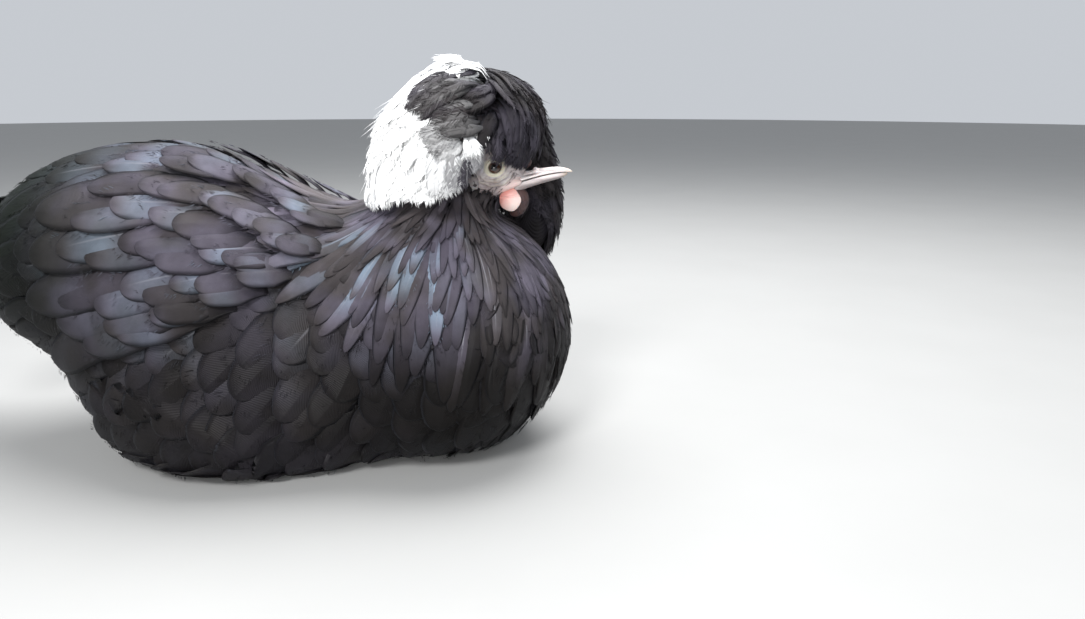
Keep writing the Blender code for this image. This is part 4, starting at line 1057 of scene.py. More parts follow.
def wing_piece(side, name, material):
    """Each tier is a bowed row of roots on the flank, and its feathers run back along the wing. The
    roots are kept clear of the line of the back."""
    forward, upward = slanting(WING_LINE)
    front, back = np.array(WING[0]) + WING[1][0] * forward, -forward
    tiers = np.array(WING_TIERS)
    counts = tiers[:, 1].astype(int)
    tier, number = numbered(counts)
    draw = np.random.default_rng(41)
    spread = (number + 0.25 + 0.5 * (tier % 2)) / counts[tier] - 0.5
    behind, row, length, half, tips = (tiers[tier, column] for column in (0, 2, 3, 4, 5))
    bow = 0.016 * (1 - 4 * spread**2)
    places = front + (behind - bow)[:, None] * back + (spread * row)[:, None] * upward
    places[:, 1] = 0
    rays = side * SIDEWAYS
    starts = places + first_exit(places, rays, trunk)[:, None] * rays
    inside = np.abs(starts[:, 1]) > 0.022
    starts, tier, spread, length, half, tips = (
        part[inside] for part in (starts, tier, spread, length, half, tips)
    )
    length = length * draw.uniform(0.88, 1.10, len(tier)) * np.where(tier == 0, 1 - 0.16 * np.abs(spread), 1)
    half = half * draw.uniform(0.86, 1.12, len(tier))
    shares = stations(18)
    levels = rise(shares, np.full(len(tier), -0.001), tips + draw.uniform(-0.0003, 0.0003, len(tier)))
    flow = back + (0.05 * spread)[:, None] * upward + draw.normal(size=(len(tier), 3)) * 0.055
    paths = trails(trunk, starts, lambda points: flow, length, shares, levels)
    wide = blade(shares, draw, len(tier), root=0.35, full=0.45, turn=0.58, power=2.2, ragged=0.03)
    tilt = -side * np.radians(7 + draw.normal(0, 3.5, len(tier)))
    slopes, shade = slope_of(trunk, paths), draw.random(len(tier))
    painted_sheen_share = np.full(len(tier), 0.75)
    loose_barbs(name + "_barbs", paths, slopes, half, wide, np.zeros(len(tier)), shade, painted_sheen_share, draw,
                "black_plumage", material, 30, FRINGE)
    return feathers(name, paths, slopes, half, wide, tilt, "black_plumage", material, camber=0.13,
                    columns=9, shade=shade, painted_sheen_share=painted_sheen_share)


class HEN_OT_wings(bpy.types.Operator):
    """Flight feathers and coverts of the folded wings"""

    bl_idname = "hen.wings"
    bl_label = "Wings"

    def execute(self, context):
        """Both wings, one the mirror image of the other in its tiers."""
        material = plumage("hen_wing_plumage", sheen=0.55, barbs=60.0,
                           rim=0.42, lift=1.10)
        for side, word in SIDES:
            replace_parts(wing_piece(side, "wing_coat_" + word, material), "wing_" + word)
        return {"FINISHED"}


# Rows of the tail: number on each side, length, half width, distance from the middle against the tail
# feathers', degrees from straight up to the outermost
TAIL_ROWS = (
    (7, 0.095, 0.0120, 1.0, 122),
    (6, 0.070, 0.0112, 1.12, 116),
    (6, 0.052, 0.0104, 1.24, 112),
    (5, 0.038, 0.0096, 1.32, 104),
)


class HEN_OT_tail(bpy.types.Operator):
    """Drooping tail feathers and their coverts"""

    bl_idname = "hen.tail"
    bl_label = "Tail"

    def execute(self, context):
        """A tent round the line of the tail: each path runs along it at its own angle round it, and
        opens away from the line towards the tip."""
        forward, upward = slanting(TAIL_FALL)
        rows = np.array(TAIL_ROWS)
        counts = rows[:, 0].astype(int) * 2
        row, number = numbered(counts)
        side = np.where(number % 2, 1.0, -1.0)
        rank = number // 2
        draw = np.random.default_rng(53)
        length, half, scale, outermost = (rows[row, column] for column in (1, 2, 3, 4))
        share = rank / (rows[row, 0] - 1)
        turn = np.radians(6 + (outermost - 6) * share + draw.uniform(-3, 3, len(row)))
        outward = (side * np.sin(turn))[:, None] * SIDEWAYS + np.cos(turn)[:, None] * upward
        shares = stations(18)
        reach = length * (1 - 0.12 * share**2) * draw.uniform(0.95, 1.04, len(row))
        flare = (shares[None] * reach[:, None] / 0.095) ** 0.8
        opening = scale[:, None] * (0.016 + 0.020 * flare) - 0.0006 * rank[:, None]
        curl = -0.010 * (shares[None] * reach[:, None] / 0.095) ** 2.5
        paths = TAIL_ROOT - forward * (reach[:, None] * shares[None])[..., None]
        paths = paths + outward[:, None] * opening[..., None] + curl[..., None] * np.array((0, 0, 1.0))
        slopes = np.broadcast_to(outward[:, None], paths.shape)
        wide = blade(shares, draw, len(row), root=0.35, full=0.35, turn=0.62, power=2.4, ragged=0.02)
        material = plumage("hen_tail_plumage", sheen=0.3, barbs=60.0, streak=0.08)
        piece = feathers("tail_coat", paths, slopes, half, wide, -side * math.radians(7), "black_plumage",
                         material, camber=0.12, painted_sheen_share=np.full(len(row), 0.4))
        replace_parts(piece, "tail")
        return {"FINISHED"}


def drape(bearing):
    """How far from straight up the crest hangs at a bearing, in degrees."""
    bearings, leans = zip(*DRAPE)
    return np.interp((bearing + 180) % 360 - 180, bearings, leans)


def polar(points):
    """Bearing and lean in degrees of points seen from the crown."""
    offset = points - CROWN
    bearing = np.degrees(np.arctan2(offset[..., 1], offset[..., 0]))
    lean = np.degrees(np.arctan2(np.hypot(offset[..., 0], offset[..., 1]), offset[..., 2]))
    return bearing, lean


def crown_rays(bearing, lean):
    """Unit rays from the crown at a bearing and a lean in degrees."""
    turn, tip = np.radians(bearing), np.radians(lean)
    return np.stack([np.cos(turn) * np.sin(tip), np.sin(turn) * np.sin(tip), np.cos(tip)], -1)


def blackness(points):
    """One where the crest is black: over the brow and the far lobe, and on the near side above the
    eye, back to a slanting line, greying towards its lower edge."""
    x, y, z = (points[..., axis] for axis in range(3))
    brow = 0.1250 + 0.0070 * smooth(-0.020, -0.032, y) * smooth(0.200, 0.192, z)
    front = smooth(-0.0020, 0.0020, x - brow)
    line = np.interp(z, (0.194, 0.200, 0.206, 0.219, 0.2277, 0.236),
                     (0.126, 0.112, 0.107, 0.105, 0.111, 0.124))
    near = smooth(-0.002, 0.002, x - line) * smooth(0.190, 0.200, z) * smooth(-0.006, -0.014, y)
    return np.maximum(front, near)


# Locks on the near side of the crest: start, end, number of feathers, half the span at start and end,
# half width of a feather, paleness and shade, and height over the form
LOCKS = (
    ((0.1230, -0.0050, 0.2350), (0.1050, -0.0100, 0.2340), 14, (0.008, 0.008), 0.0050, (1.0, 0.5), 0.0036),
    ((0.1210, -0.0020, 0.2350), (0.1020, -0.0120, 0.2330), 10, (0.008, 0.010), 0.0050, (1.0, 0.5), 0.0012),
    ((0.1290, -0.0255, 0.2310), (0.0985, -0.0490, 0.2105), 18, (0.009, 0.006), 0.0042, (0.02, 0.9), 0.0028),
    ((0.1345, -0.0400, 0.2120), (0.1075, -0.0530, 0.2045), 15, (0.009, 0.006), 0.0040, (0.03, 1.0), 0.0024),
    ((0.1290, -0.0480, 0.2045), (0.1060, -0.0573, 0.1950), 11, (0.005, 0.005), 0.0038, (0.26, 0.8), 0.0014),
    ((0.1250, -0.0510, 0.1990), (0.1105, -0.0572, 0.1900), 9, (0.004, 0.005), 0.0036, (0.48, 0.6), 0.0010),
    # The two locks of the tuft by the eye are grey, darker to the right: painted shade under the overhanging
    # lobe
    ((0.1190, -0.0535, 0.1985), (0.1130, -0.0520, 0.1655), 12, (0.005, 0.006), 0.0036, (0.66, 0.5), 0.0006),
    ((0.1240, -0.0525, 0.1980), (0.1195, -0.0505, 0.1690), 10, (0.004, 0.004), 0.0030, (0.34, 0.5), 0.0010),
    ((0.1275, -0.0505, 0.1930), (0.1235, -0.0490, 0.1690), 12, (0.002, 0.003), 0.0016, (0.03, 0.6), 0.0012),
    ((0.1310, -0.0485, 0.1995), (0.1318, -0.0465, 0.1790), 9, (0.003, 0.002), 0.0022, (0.26, 0.6), 0.0010),
    ((0.1300, -0.0495, 0.2000), (0.1288, -0.0500, 0.1870), 8, (0.003, 0.003), 0.0026, (0.88, 0.5), 0.0016),
    ((0.1420, -0.0120, 0.2330), (0.1180, -0.0220, 0.2325), 4, (0.005, 0.003), 0.0014, (0.85, 0.5), 0.0030),
)


def crest_flow(points):
    """The crest streams away from its parting over the brow, is drawn back on the near side, and hangs
    more and more the lower it is."""
    flow = unit(points - PARTING)
    near = smooth(-0.004, -0.028, points[..., 1]) * smooth(0.150, 0.130, points[..., 0])
    near = near * smooth(0.240, 0.228, points[..., 2])
    near = near * (0.40 + 0.60 * smooth(0.184, 0.212, points[..., 2]))
    hang = smooth(0.228, 0.180, points[..., 2])
    return flow + near[..., None] * np.array((-0.95, 0, 0.12)) - hang[..., None] * np.array((0, 0, 0.85))


class HEN_OT_crest(bpy.types.Operator):
    """Full crest of long soft feathers"""

    bl_idname = "hen.crest"
    bl_label = "Crest"

    def execute(self, context):
        """Roots are spread evenly over the cap of the crest, and each feather follows the flow from well
        inside it out to its surface, and is cut short where it would hang below the drape."""
        settings = context.scene.hen_crest
        draw = np.random.default_rng(61)
        spread = np.arange(settings.feathers)
        lean = np.degrees(np.arccos(1 - 1.80 * (spread + 0.5) / settings.feathers))
        bearing = (spread * GOLDEN_TURN) % 360 - 180
        kept = lean < drape(bearing) - 9
        rays = crown_rays(bearing[kept], lean[kept])
        starts = CROWN + first_exit(CROWN, rays, crest, -0.009, steps=48)[:, None] * rays
        starts = np.concatenate([starts, self.lobe_roots()])
        count = len(starts)
        shares = stations(14, 1.3)
        length = settings.length * draw.uniform(0.78, 1.18, count)
        tips = draw.uniform(-0.0028, 0.0006, count)
        push = draw.normal(size=(count, 3)) * 0.10

        def flow(points):
            return crest_flow(points) + push

        levels = rise(shares, np.full(count, -0.0105), tips, 0.30, 0.66)
        paths = trails(crest, starts, flow, length, shares, levels)
        around, low = polar(paths)
        over = np.where(paths[..., 0] > 0.140, paths[..., 2] < LOBE_END, False)
        over = over | (low > drape(around))
        first = np.where(over.any(1), np.argmax(over, axis=1), len(shares) - 1)
        part = np.where(over.any(1), shares[first], 1.0)
        kept = part > 0.30
        starts, push, tips = starts[kept], push[kept], tips[kept]
        length = (length * part)[kept]
        count = len(length)
        crowded = smooth(0.045, 0.012, np.linalg.norm(starts - PARTING, axis=1))
        tips = tips + 0.0018 * smooth(0.205, 0.225, starts[:, 2])
        levels = rise(shares, -0.0125 + 0.0095 * crowded, tips, 0.34, 0.66)
        paths = trails(crest, starts, flow, length, shares, levels)
        half = settings.half_width * draw.uniform(0.78, 1.25, count) * smooth(0.0, 0.03, length)
        half = half * (1 - 0.45 * crowded)
        black = blackness(paths[:, 10] + draw.normal(size=(count, 3)) * 0.0022)
        pale = 1 - smooth(0.30, 0.70, black)
        shade = draw.random(count) * 0.8
        locks = self.locks(draw, shares)
        paths, half, pale, shade = (
            np.concatenate(pair) for pair in zip((paths, half, pale, shade), locks)
        )
        count = len(paths)
        slopes = slope_of(crest, paths)
        wide = blade(shares, draw, count, root=0.30, full=0.45, turn=0.50, power=1.9, ragged=0.06)
        tilt = np.radians(draw.normal(0, 6, count))
        material = plumage("hen_crest_plumage", sheen=0.2, barbs=26.0,
                           streak=0.15, rim=0.15, lift=0.55)
        piece = feathers("crest_coat", paths, slopes, half, wide, tilt, "white_plumage", material,
                         camber=0.22, columns=5, pale=pale, shade=shade)
        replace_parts(piece, "crest")
        self.felt(material)
        quarter = (paths[:, 7, 0] > 0.112) + 2 * (paths[:, 7, 1] > 0)
        for number, name in enumerate(("rear_right", "front_right", "rear_left", "front_left")):
            chosen = quarter == number
            shape = (part[chosen] for part in (paths, slopes, half, wide, pale, shade))
            loose_barbs("crest_barbs_" + name, *shape, np.zeros(int(chosen.sum())), draw, "white_plumage",
                        material, settings.barbs, PLUME)
        self.filaments(paths, pale, draw, material)
        return {"FINISHED"}

    @staticmethod
    def locks(draw, shares):
        """Paths, half widths, paleness and shade of the feathers of the locks: side by side at the
        start, each heads for its own place at the end, and rises to the height of the lock."""
        made = []
        for start, end, count, spans, half, tone, height in LOCKS:
            start, end = np.array(start), np.array(end)
            along = unit(end - start)
            across = unit(np.cross(slope_of(crest, (start + end) / 2), along))
            place = np.linspace(-1, 1, count) + draw.uniform(-0.2, 0.2, count)
            roots = start + across * (place * spans[0])[:, None]
            roots = roots + (end - start) * draw.uniform(-0.05, 0.30, (count, 1))
            ends = end + across * (place * spans[1])[:, None]
            length = np.linalg.norm(ends - roots, axis=1) * draw.uniform(0.86, 1.06, count)
            goal = ends + along * 0.01
            levels = np.interp(shares, (0, 0.35, 0.75, 1), (-0.004, 0.7 * height, height, 0.5 * height))
            levels = levels[None] + draw.uniform(-0.0004, 0.0004, (count, 1))
            paths = trails(crest, roots, lambda points: goal - points, length, shares, levels)
            made.append((paths, half * draw.uniform(0.85, 1.15, count),
                         np.clip(tone[0] + draw.normal(0, 0.04, count) * (tone[0] < 1), 0, 1),
                         np.full(count, tone[1])))
        return [np.concatenate(group) for group in zip(*made)]

    @staticmethod
    def lobe_roots():
        """Roots of the lobe that hangs beside the bill on the left: rays round its own upright axis."""
        number = np.arange(110)
        share = (number + 0.5) / 110
        top, end = np.array((0.148, 0.028, 0.204)), np.array((0.155, 0.036, 0.142))
        places = top + share[:, None] * (end - top)
        turn = np.radians(number * GOLDEN_TURN)
        rays = np.stack([np.cos(turn), np.sin(turn), np.zeros(len(turn))], -1)
        return places + rays * 0.008

    @staticmethod
    def felt(material):
        """The dense down under the feathers: rays from the crown out to a level inside the crest, from
        the top to just above the drape, then back inwards to close."""
        around = np.linspace(-180, 180, 120, endpoint=False)[None]
        edge = drape(around) - 5
        outer = np.linspace(0.01, 1, 48)[:, None]
        rays = crown_rays(np.broadcast_to(around, (48, 120)), edge * outer)
        reach = first_exit(CROWN, rays, crest, -0.0095, steps=48)
        inner = reach[-1:] * np.linspace(0.94, 0.25, 8)[:, None]
        grid = CROWN + np.concatenate([reach[..., None] * rays, inner[..., None] * rays[-1:]])
        values = {
            "pale": 1 - smooth(0.3, 0.7, blackness(grid)), "shade": np.full(grid.shape[:2], 0.4),
            "painted_sheen_share": np.zeros(grid.shape[:2]),
        }
        grid_piece("crest_felt", grid, material, values=values, label="Vane", bake=True)
        ball, centre, radii, angle = ball_grid(LOBE_FELT, 1, 28, 36)
        lobe = (centre + tilted(ball * radii, angle))[::-1]
        black = (("pale", 0), ("shade", 0.4), ("painted_sheen_share", 0))
        values = {label: np.full(lobe.shape[:2], value) for label, value in black}
        grid_piece("lobe_felt", lobe, material, values=values, label="Vane", bake=True)

    @staticmethod
    def filaments(paths, pale, draw, material):
        """Long single hairs that stand off the surface over the outer half of some feathers."""
        feather = draw.choice(len(paths), 420)
        rows = np.arange(4, 14, 3)
        curves = paths[feather][:, rows]
        swell = np.linspace(0, 1, len(rows)) ** 1.5
        drift = draw.normal(size=(len(feather), 1, 3)) * 0.0022
        outward = unit(curves - CROWN) * draw.uniform(0.0004, 0.0022, (len(feather), 1, 1))
        curves = curves + (drift + outward) * swell[None, :, None]
        radii = np.broadcast_to(np.array((0.00020, 0.00018, 0.00013, 0.00004)), curves.shape[:2])
        strands("crest_filaments", curves, radii, material, pale=pale[feather],
                roots=paths[feather, 0])


def clear_of_wattles(paths):
    """Which feathers pass at least 2 mm outside both wattles."""
    near = np.minimum(*(ellipsoid(paths, WATTLE, side) for side in (-1, 1)))
    return near.min(axis=1) > 0.002


def nape(points):
    """The trunk run into the head, as the short feathers of throat and nape lie on it."""
    return blended(trunk(points), head(points), THROAT_BLEND)


def jaw(points):
    """The head with the dark skin under the bill."""
    return blended(head(points), ellipsoid(points, DEWLAP), DEWLAP_BLEND)


def bare(points):
    """One on the bare face: round the eye, forward to the bill and down to the corner of the mouth."""
    bare_face = np.zeros(points.shape[:-1])
    for side in (-1, 1):
        away = np.linalg.norm((points - EYE_CENTRE * (1, side, 1)) * (1, 1, 1.25), axis=-1)
        mouth = np.linalg.norm((points - (0.146, 0.009 * side, 0.1665)) * (0.9, 1, 1.3), axis=-1)
        behind = np.linalg.norm((points - (0.1325, 0.013 * side, 0.1735)) * (1.0, 1, 1.1), axis=-1)
        round_eye = np.maximum(smooth(0.0118, 0.0105, away), smooth(0.0098, 0.0088, behind))
        bare_face = np.maximum(bare_face, np.maximum(round_eye, smooth(0.011, 0.009, mouth)))
    return bare_face


class HEN_OT_face_coat(bpy.types.Operator):
    """Short feathers of throat, nape and brow, and the bristles of the face"""

    bl_idname = "hen.face_coat"
    bl_label = "Face feathers"

    def execute(self, context):
        """Small pointed feathers from rays round the axis of neck and head, and thin dark bristles on
        the cheeks and throat, none of them on the bare face."""
        draw = np.random.default_rng(71)
        material = plumage("hen_face_plumage", sheen=0.15, barbs=20.0, streak=0.12)
        low, top = np.array((0.098, 0.0, 0.140)), np.array((0.132, 0.0, 0.176))
        axis = unit(top - low)
        upward = np.array((-axis[2], 0, axis[0]))
        number = np.arange(620)
        place = low + (number / 620)[:, None] * (top - low)
        turn = np.radians(number * GOLDEN_TURN)
        rays = np.cos(turn)[:, None] * upward + np.sin(turn)[:, None] * SIDEWAYS
        rays = rays + axis * 0.25 * (number / 620)[:, None]
        rays = unit(rays)
        starts = place + first_exit(place, rays, nape, reach=0.12)[:, None] * rays
        starts = starts[(bare(starts) < 0.3) & (starts[:, 2] < 0.192)]
        count = len(starts)
        size = smooth(0.165, 0.135, starts[:, 2])
        length = (0.010 + 0.008 * size) * draw.uniform(0.85, 1.15, count)
        half = (0.0021 + 0.0014 * size) * draw.uniform(0.85, 1.15, count)
        shares = stations(9)
        levels = rise(shares, np.full(count, -0.0008), draw.uniform(0.0006, 0.0019, count))
        push = draw.normal(size=(count, 3)) * 0.25

        def flow(points):
            return unit(points - np.array((0.150, 0, 0.200))) + push

        paths = trails(nape, starts, flow, length, shares, levels)
        kept = clear_of_wattles(paths)
        paths, half, count = paths[kept], half[kept], int(kept.sum())
        wide = blade(shares, draw, count, root=0.4, full=0.4, turn=0.45, power=1.5, ragged=0.08)
        feathers("face_feathers", paths, slope_of(nape, paths), half, wide,
                 np.radians(draw.normal(0, 9, count)), "black_plumage", material, thick=0.0004,
                 camber=0.22, columns=5)
        self.bristles(draw, material)
        return {"FINISHED"}

    @staticmethod
    def bristles(draw, material):
        """Hairs on the head from random rays: a root a little under the skin, a middle and a tip."""
        middle = np.array((0.134, 0.0, 0.172))
        rays = unit(draw.normal(size=(5200, 3)) * (1.0, 1.2, 1.0) + (0.0, 0.0, -0.4))
        roots = middle + first_exit(middle, rays, jaw, reach=0.06, steps=30)[:, None] * rays
        dewlap = (roots[:, 0] < 0.158) & (roots[:, 2] < 0.161)
        face = (roots[:, 0] > 0.114) & ((roots[:, 0] < 0.150) | dewlap) & (roots[:, 2] < 0.186)
        thin = draw.random(len(roots)) < np.where(bare(roots) > 0.5, 0.04, 0.75)
        near_eye = np.linalg.norm(roots - EYE_CENTRE * np.sign(roots[:, 1:2] * (0, 1, 0) + (1, 0, 1)), axis=1)
        roots = roots[face & thin & (near_eye > 0.0088)]
        count = len(roots)
        slope = slope_of(jaw, roots)
        flow = unit(roots - np.array((0.155, 0, 0.185)) + draw.normal(size=(count, 3)) * 0.008)
        flow = unit(flow - np.sum(flow * slope, -1, keepdims=True) * slope)
        length = draw.uniform(0.0022, 0.0052, count)[:, None]
        curves = np.stack([
            roots - slope * 0.0006, roots + flow * length * 0.5 + slope * length * 0.16,
            roots + flow * length + slope * length * draw.uniform(0.0, 0.22, (count, 1)),
        ], 1)
        radii = np.broadcast_to(np.array((0.00018, 0.00014, 0.00004)), curves.shape[:2])
        strands("face_bristles", curves, radii, material)


class HEN_OT_lids(bpy.types.Operator):
    """Lids with their swollen rims and folds"""

    bl_idname = "hen.lids"
    bl_label = "Lids"

    def execute(self, context):
        """A closed profile carried round the almond of each eye and laid on the head run together with
        the eyeball: it starts inside the rim, swells over it, falls in folds and returns underneath."""
        material = bpy.data.materials.get("hen_skin")
        for side, word in SIDES:
            eye = EYE_CENTRE * (1, side, 1)
            outward = unit(EYE_FACING * (1, side, 1))
            level = unit(np.cross((0.0, 0.0, 1.0), outward) * side)
            upright = np.cross(outward, level) * side
            angle = np.linspace(0, 2 * math.pi, 96, endpoint=False)
            almond = 0.0048 * np.cos(angle) - 0.0009 * np.cos(angle) ** 2
            height = 0.0040 * np.sin(angle) * (1 - 0.10 * np.cos(angle))
            rim = np.hypot(almond, height)
            spread = np.array((-0.00035, -0.0001, 0.0002, 0.0006, 0.0010, 0.0014, 0.0018, 0.0022, 0.0026,
                               0.0030, 0.0034, 0.0038, 0.0042, 0.0042, 0.0024, 0.0008))
            rise_by = np.array((-0.0006, 0.0003, 0.00065, 0.00072, 0.0005, 0.0002, 0.0003, 0.00042, 0.0002,
                                0.0001, 0.00022, 0.0001, -0.0003, -0.0012, -0.0014, -0.0012))
            away = rim[None] + spread[:, None]
            direction = np.stack([almond, height], -1) / rim[:, None]
            points = eye + outward * EYE_RADIUS * 0.9
            points = points + away[..., None] * (
                direction[None, :, 0, None] * level + direction[None, :, 1, None] * upright
            )

            def form(places, eye=eye):
                ball = np.linalg.norm(places - eye, axis=-1) - EYE_RADIUS - 0.0001
                return blended(head(places), ball, 0.0025)

            grid = settled(settled(points, form, rise_by[:, None]), form, rise_by[:, None])
            ring = np.broadcast_to(smooth(0.0030, 0.0018, spread)[:, None], grid.shape[:2])
            labels = ("covered", "ring", "pink", "painted_skin_shade", "fold")
            values = {label: ring * (label == "ring") for label in labels}
            order = slice(None, None, 1 if side < 0 else -1)
            values = {key: value[:, order] for key, value in values.items()}
            grid_piece("lids_" + word, grid[:, order], material, True, values)
        return {"FINISHED"}


class HEN_OT_eyes(bpy.types.Operator):
    """Eyes with iris, pupil and cornea"""

    bl_idname = "hen.eyes"
    bl_label = "Eyes"

    def execute(self, context):
        """Rings round the direction in which the eye looks. The radius is the eyeball's, with the
        cornea raised by a squared cosine over the middle."""
        shading = Shading("hen_eye", 0.25, Coat_Weight=1.0, Coat_Roughness=0.03, Coat_IOR=1.65,
                          Specular_IOR_Level=0.1)
        around, polar = shading.place("Wrap")
        streaks = shading.node("ShaderNodeTexNoise", noise_dimensions="2D")
        vector = shading.node("ShaderNodeCombineXYZ")
        shading.put(vector.inputs[0], shading.maths("MULTIPLY", around, 40.0))
        shading.put(vector.inputs[1], shading.maths("MULTIPLY", polar, 6.0))
        shading.put(streaks.inputs["Vector"], vector.outputs[0])
        iris = shading.mix(streaks.outputs["Fac"], "iris", (0.060, 0.026, 0.014, 1))
        tint = shading.mix(shading.spread(polar, 0.105, 0.125), (0.003, 0.003, 0.003, 1), iris)
        tint = shading.mix(shading.spread(polar, 0.225, 0.255), tint, (0.008, 0.006, 0.006, 1))
        material = shading.colour(tint)
        for side, word in SIDES:
            eye = EYE_CENTRE * (1, side, 1)
            outward = unit(EYE_FACING * (1, side, 1))
            level = unit(np.cross((0.0, 0.0, 1.0), outward))
            upright = np.cross(outward, level)
            polar_angle = np.linspace(0.01, math.pi - 0.01, 48)[:, None]
            angle = np.linspace(0, 2 * math.pi, 64, endpoint=False)[None]
            cornea = 0.0004 * np.clip(np.cos(polar_angle * 2.2), 0, 1) ** 2 * (polar_angle < 0.71)
            radius = EYE_RADIUS - 0.0002 + cornea
            grid = (
                np.cos(polar_angle)[..., None] * outward
                + (np.sin(polar_angle) * np.cos(angle))[..., None] * level
                + (np.sin(polar_angle) * np.sin(angle))[..., None] * upright
            )
            piece = grid_piece("eyeball_" + word, eye + radius[..., None] * grid, material)
            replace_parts(piece, "eye_" + word)
        return {"FINISHED"}


class HEN_OT_bill(bpy.types.Operator):
    """Upper and lower bill with nostrils"""

    bl_idname = "hen.bill"
    bl_label = "Bill"

    def execute(self, context):
        """Each half is an arch over a flat line, carried along the bill. Width and height fall as powers
        of the way along and close in a blunt tip, and the whole line bends down as its cube."""
        shading = Shading("hen_bill_horn", 0.34, Coat_Weight=0.25, Coat_Roughness=0.25,
                          Subsurface_Weight=0.08, Subsurface_Scale=0.002)
        streaks = shading.noise(300.0, 3.0, (0.12, 1.0, 1.6))
        tint = shading.mix(shading.spread(streaks, 0.42, 0.66, 0, 0.45), "horn", "dark_horn_and_shade")
        # Painted shade along the mouth, in the side groove of the upper bill and under the lower bill
        tint = shading.mix(shading.value("groove"), tint, "dark_horn_and_shade")
        tint = shading.mix(shading.value("tip"), tint, "horn_tip")
        # Painted shade: the middle of each nostril hollow near-black
        tint = shading.mix(shading.value("nostril_shade"), tint, (0.03, 0.02, 0.02, 1))
        shading.bump(streaks, 0.30, 0.0003)
        material = shading.colour(tint)
        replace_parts(self.upper(material), "bill_upper")
        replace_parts(self.lower(material), "bill_lower")
        return {"FINISHED"}

    @staticmethod
    def upper(material):
        """The arch has a ridge along its top, a hollow and a knob at each nostril and a shallow groove."""
        forward, lift = slanting(BILL_CLIMB)
        share = np.concatenate([[-0.06], np.linspace(0, 0.9, 44), np.linspace(0.915, 1, 8)])[:, None]
        arch = np.linspace(0, math.pi, 33)
        floor = np.linspace(-1, 1, 12)[1:-1]
        across = np.concatenate([np.cos(arch), floor])[None]
        up = np.concatenate([np.sin(arch) ** 0.85, np.zeros(len(floor))])[None]
        s = np.clip(share, 0, 1)
        width = 0.0070 * (1 - 0.78 * s**1.15) * np.sqrt(np.maximum(1 - s**14, 0.01))
        height = 0.0060 * (1 - 0.58 * s**0.9) * np.sqrt(np.maximum(1 - s**14, 0.02))
        hook = HOOK * s**3 + 0.0005 * smooth(0.80, 1.0, s)
        ridge = 1 + 0.08 * np.exp(-(across / 0.16) ** 2)
        side = np.abs(across)
        hollow = np.exp(-((s - 0.40) / 0.075) ** 2) * np.exp(-((up - 0.58) / 0.15) ** 2) * (side > 0.2)
        knob = np.exp(-((s - 0.50) / 0.035) ** 2) * np.exp(-((up - 1.0) / 0.22) ** 2)
        dip = np.exp(-((s - 0.43) / 0.045) ** 2) * np.exp(-((up - 1.0) / 0.25) ** 2)
        groove = np.exp(-((up - 0.62 + 0.10 * s) / 0.09) ** 2) * smooth(0.98, 0.80, s) * (up > 0)
        swell = 1 - 0.26 * hollow + 0.30 * knob - 0.12 * dip - 0.07 * groove
        points = GAPE + forward * (BILL_LENGTH * share)[..., None]
        points = points + SIDEWAYS * (width * across * swell)[..., None]
        points = points + lift * (height * up * ridge * swell - hook + MOUTH_GAP)[..., None]
        values = {
            # painted shade in the middle of the nostril hollow
            "nostril_shade": np.clip(hollow * 1.5 - 0.35, 0, 1),
            # painted shade in the side groove and along the mouth
            "groove": np.clip(groove * 0.50 + 0.9 * (up < 0.12), 0, 0.95) * np.ones_like(across),
            "tip": smooth(0.86, 1.0, s) * np.ones_like(across) * 0.5,
        }
        values = {key: np.broadcast_to(value, points.shape[:2]) for key, value in values.items()}
        return grid_piece("bill_horn_upper", points[:, ::-1], material,
                          values={key: value[:, ::-1] for key, value in values.items()})

    @staticmethod
    def lower(material):
        """The arch hangs down, and is darker underneath and along the mouth as painted shade."""
        forward, lift = slanting(BILL_CLIMB)
        share = np.concatenate([[-0.06], np.linspace(0, 0.9, 36), np.linspace(0.915, 1, 8)])[:, None]
        arch = np.linspace(0, math.pi, 29)
        floor = np.linspace(-1, 1, 12)[1:-1]
        across = np.concatenate([np.cos(arch), floor])[None]
        down = np.concatenate([np.sin(arch) ** 0.9, np.zeros(len(floor))])[None]
        s = np.clip(share, 0, 1)
        width = 0.0064 * (1 - 0.76 * s**1.15) * np.sqrt(np.maximum(1 - s**12, 0.01))
        depth = 0.0052 * (1 - 0.28 * s**1.3) * np.sqrt(np.maximum(1 - s**8, 0.02))
        bend = HOOK * (0.928 * s) ** 3
        points = GAPE + forward * (LOWER_LENGTH * share)[..., None] + SIDEWAYS * (width * across)[..., None]
        points = points - lift * (depth * down + bend + MOUTH_GAP)[..., None]
        values = {
            "nostril_shade": np.zeros(points.shape[:2]),
            # painted shade underneath and along the mouth
            "groove": np.broadcast_to(np.maximum(
                0.80 * smooth(0.30, 0.85, down) * smooth(0.0, 0.5, s), 0.8 * (down < 0.10)
            ), points.shape[:2]),
            "tip": np.broadcast_to(smooth(0.85, 1.0, s) * 0.5, points.shape[:2]),
        }
        return grid_piece("bill_horn_lower", points, material, values=values)


def ball_grid(form, side, rows=28, ring=40):
    """Unit directions from pole to pole across, turned with the form, and its centre and radii."""
    centre, radii, tilt = form
    polar_angle = np.linspace(0.03, math.pi - 0.03, rows)[:, None]
    angle = np.linspace(0, 2 * math.pi, ring, endpoint=False)[None]
    unit_ball = np.stack(np.broadcast_arrays(
        np.sin(polar_angle) * np.cos(angle), np.cos(polar_angle), np.sin(polar_angle) * np.sin(angle)
    ), -1)
    return unit_ball, np.array(centre) * (1, side, 1), np.array(radii), math.radians(tilt)


def tilted(points, angle):
    """Points turned nose up about the Y axis."""
    along = points[..., 0] * math.cos(angle) - points[..., 2] * math.sin(angle)
    above = points[..., 2] * math.cos(angle) + points[..., 0] * math.sin(angle)
    return np.stack([along, points[..., 1], above], -1)


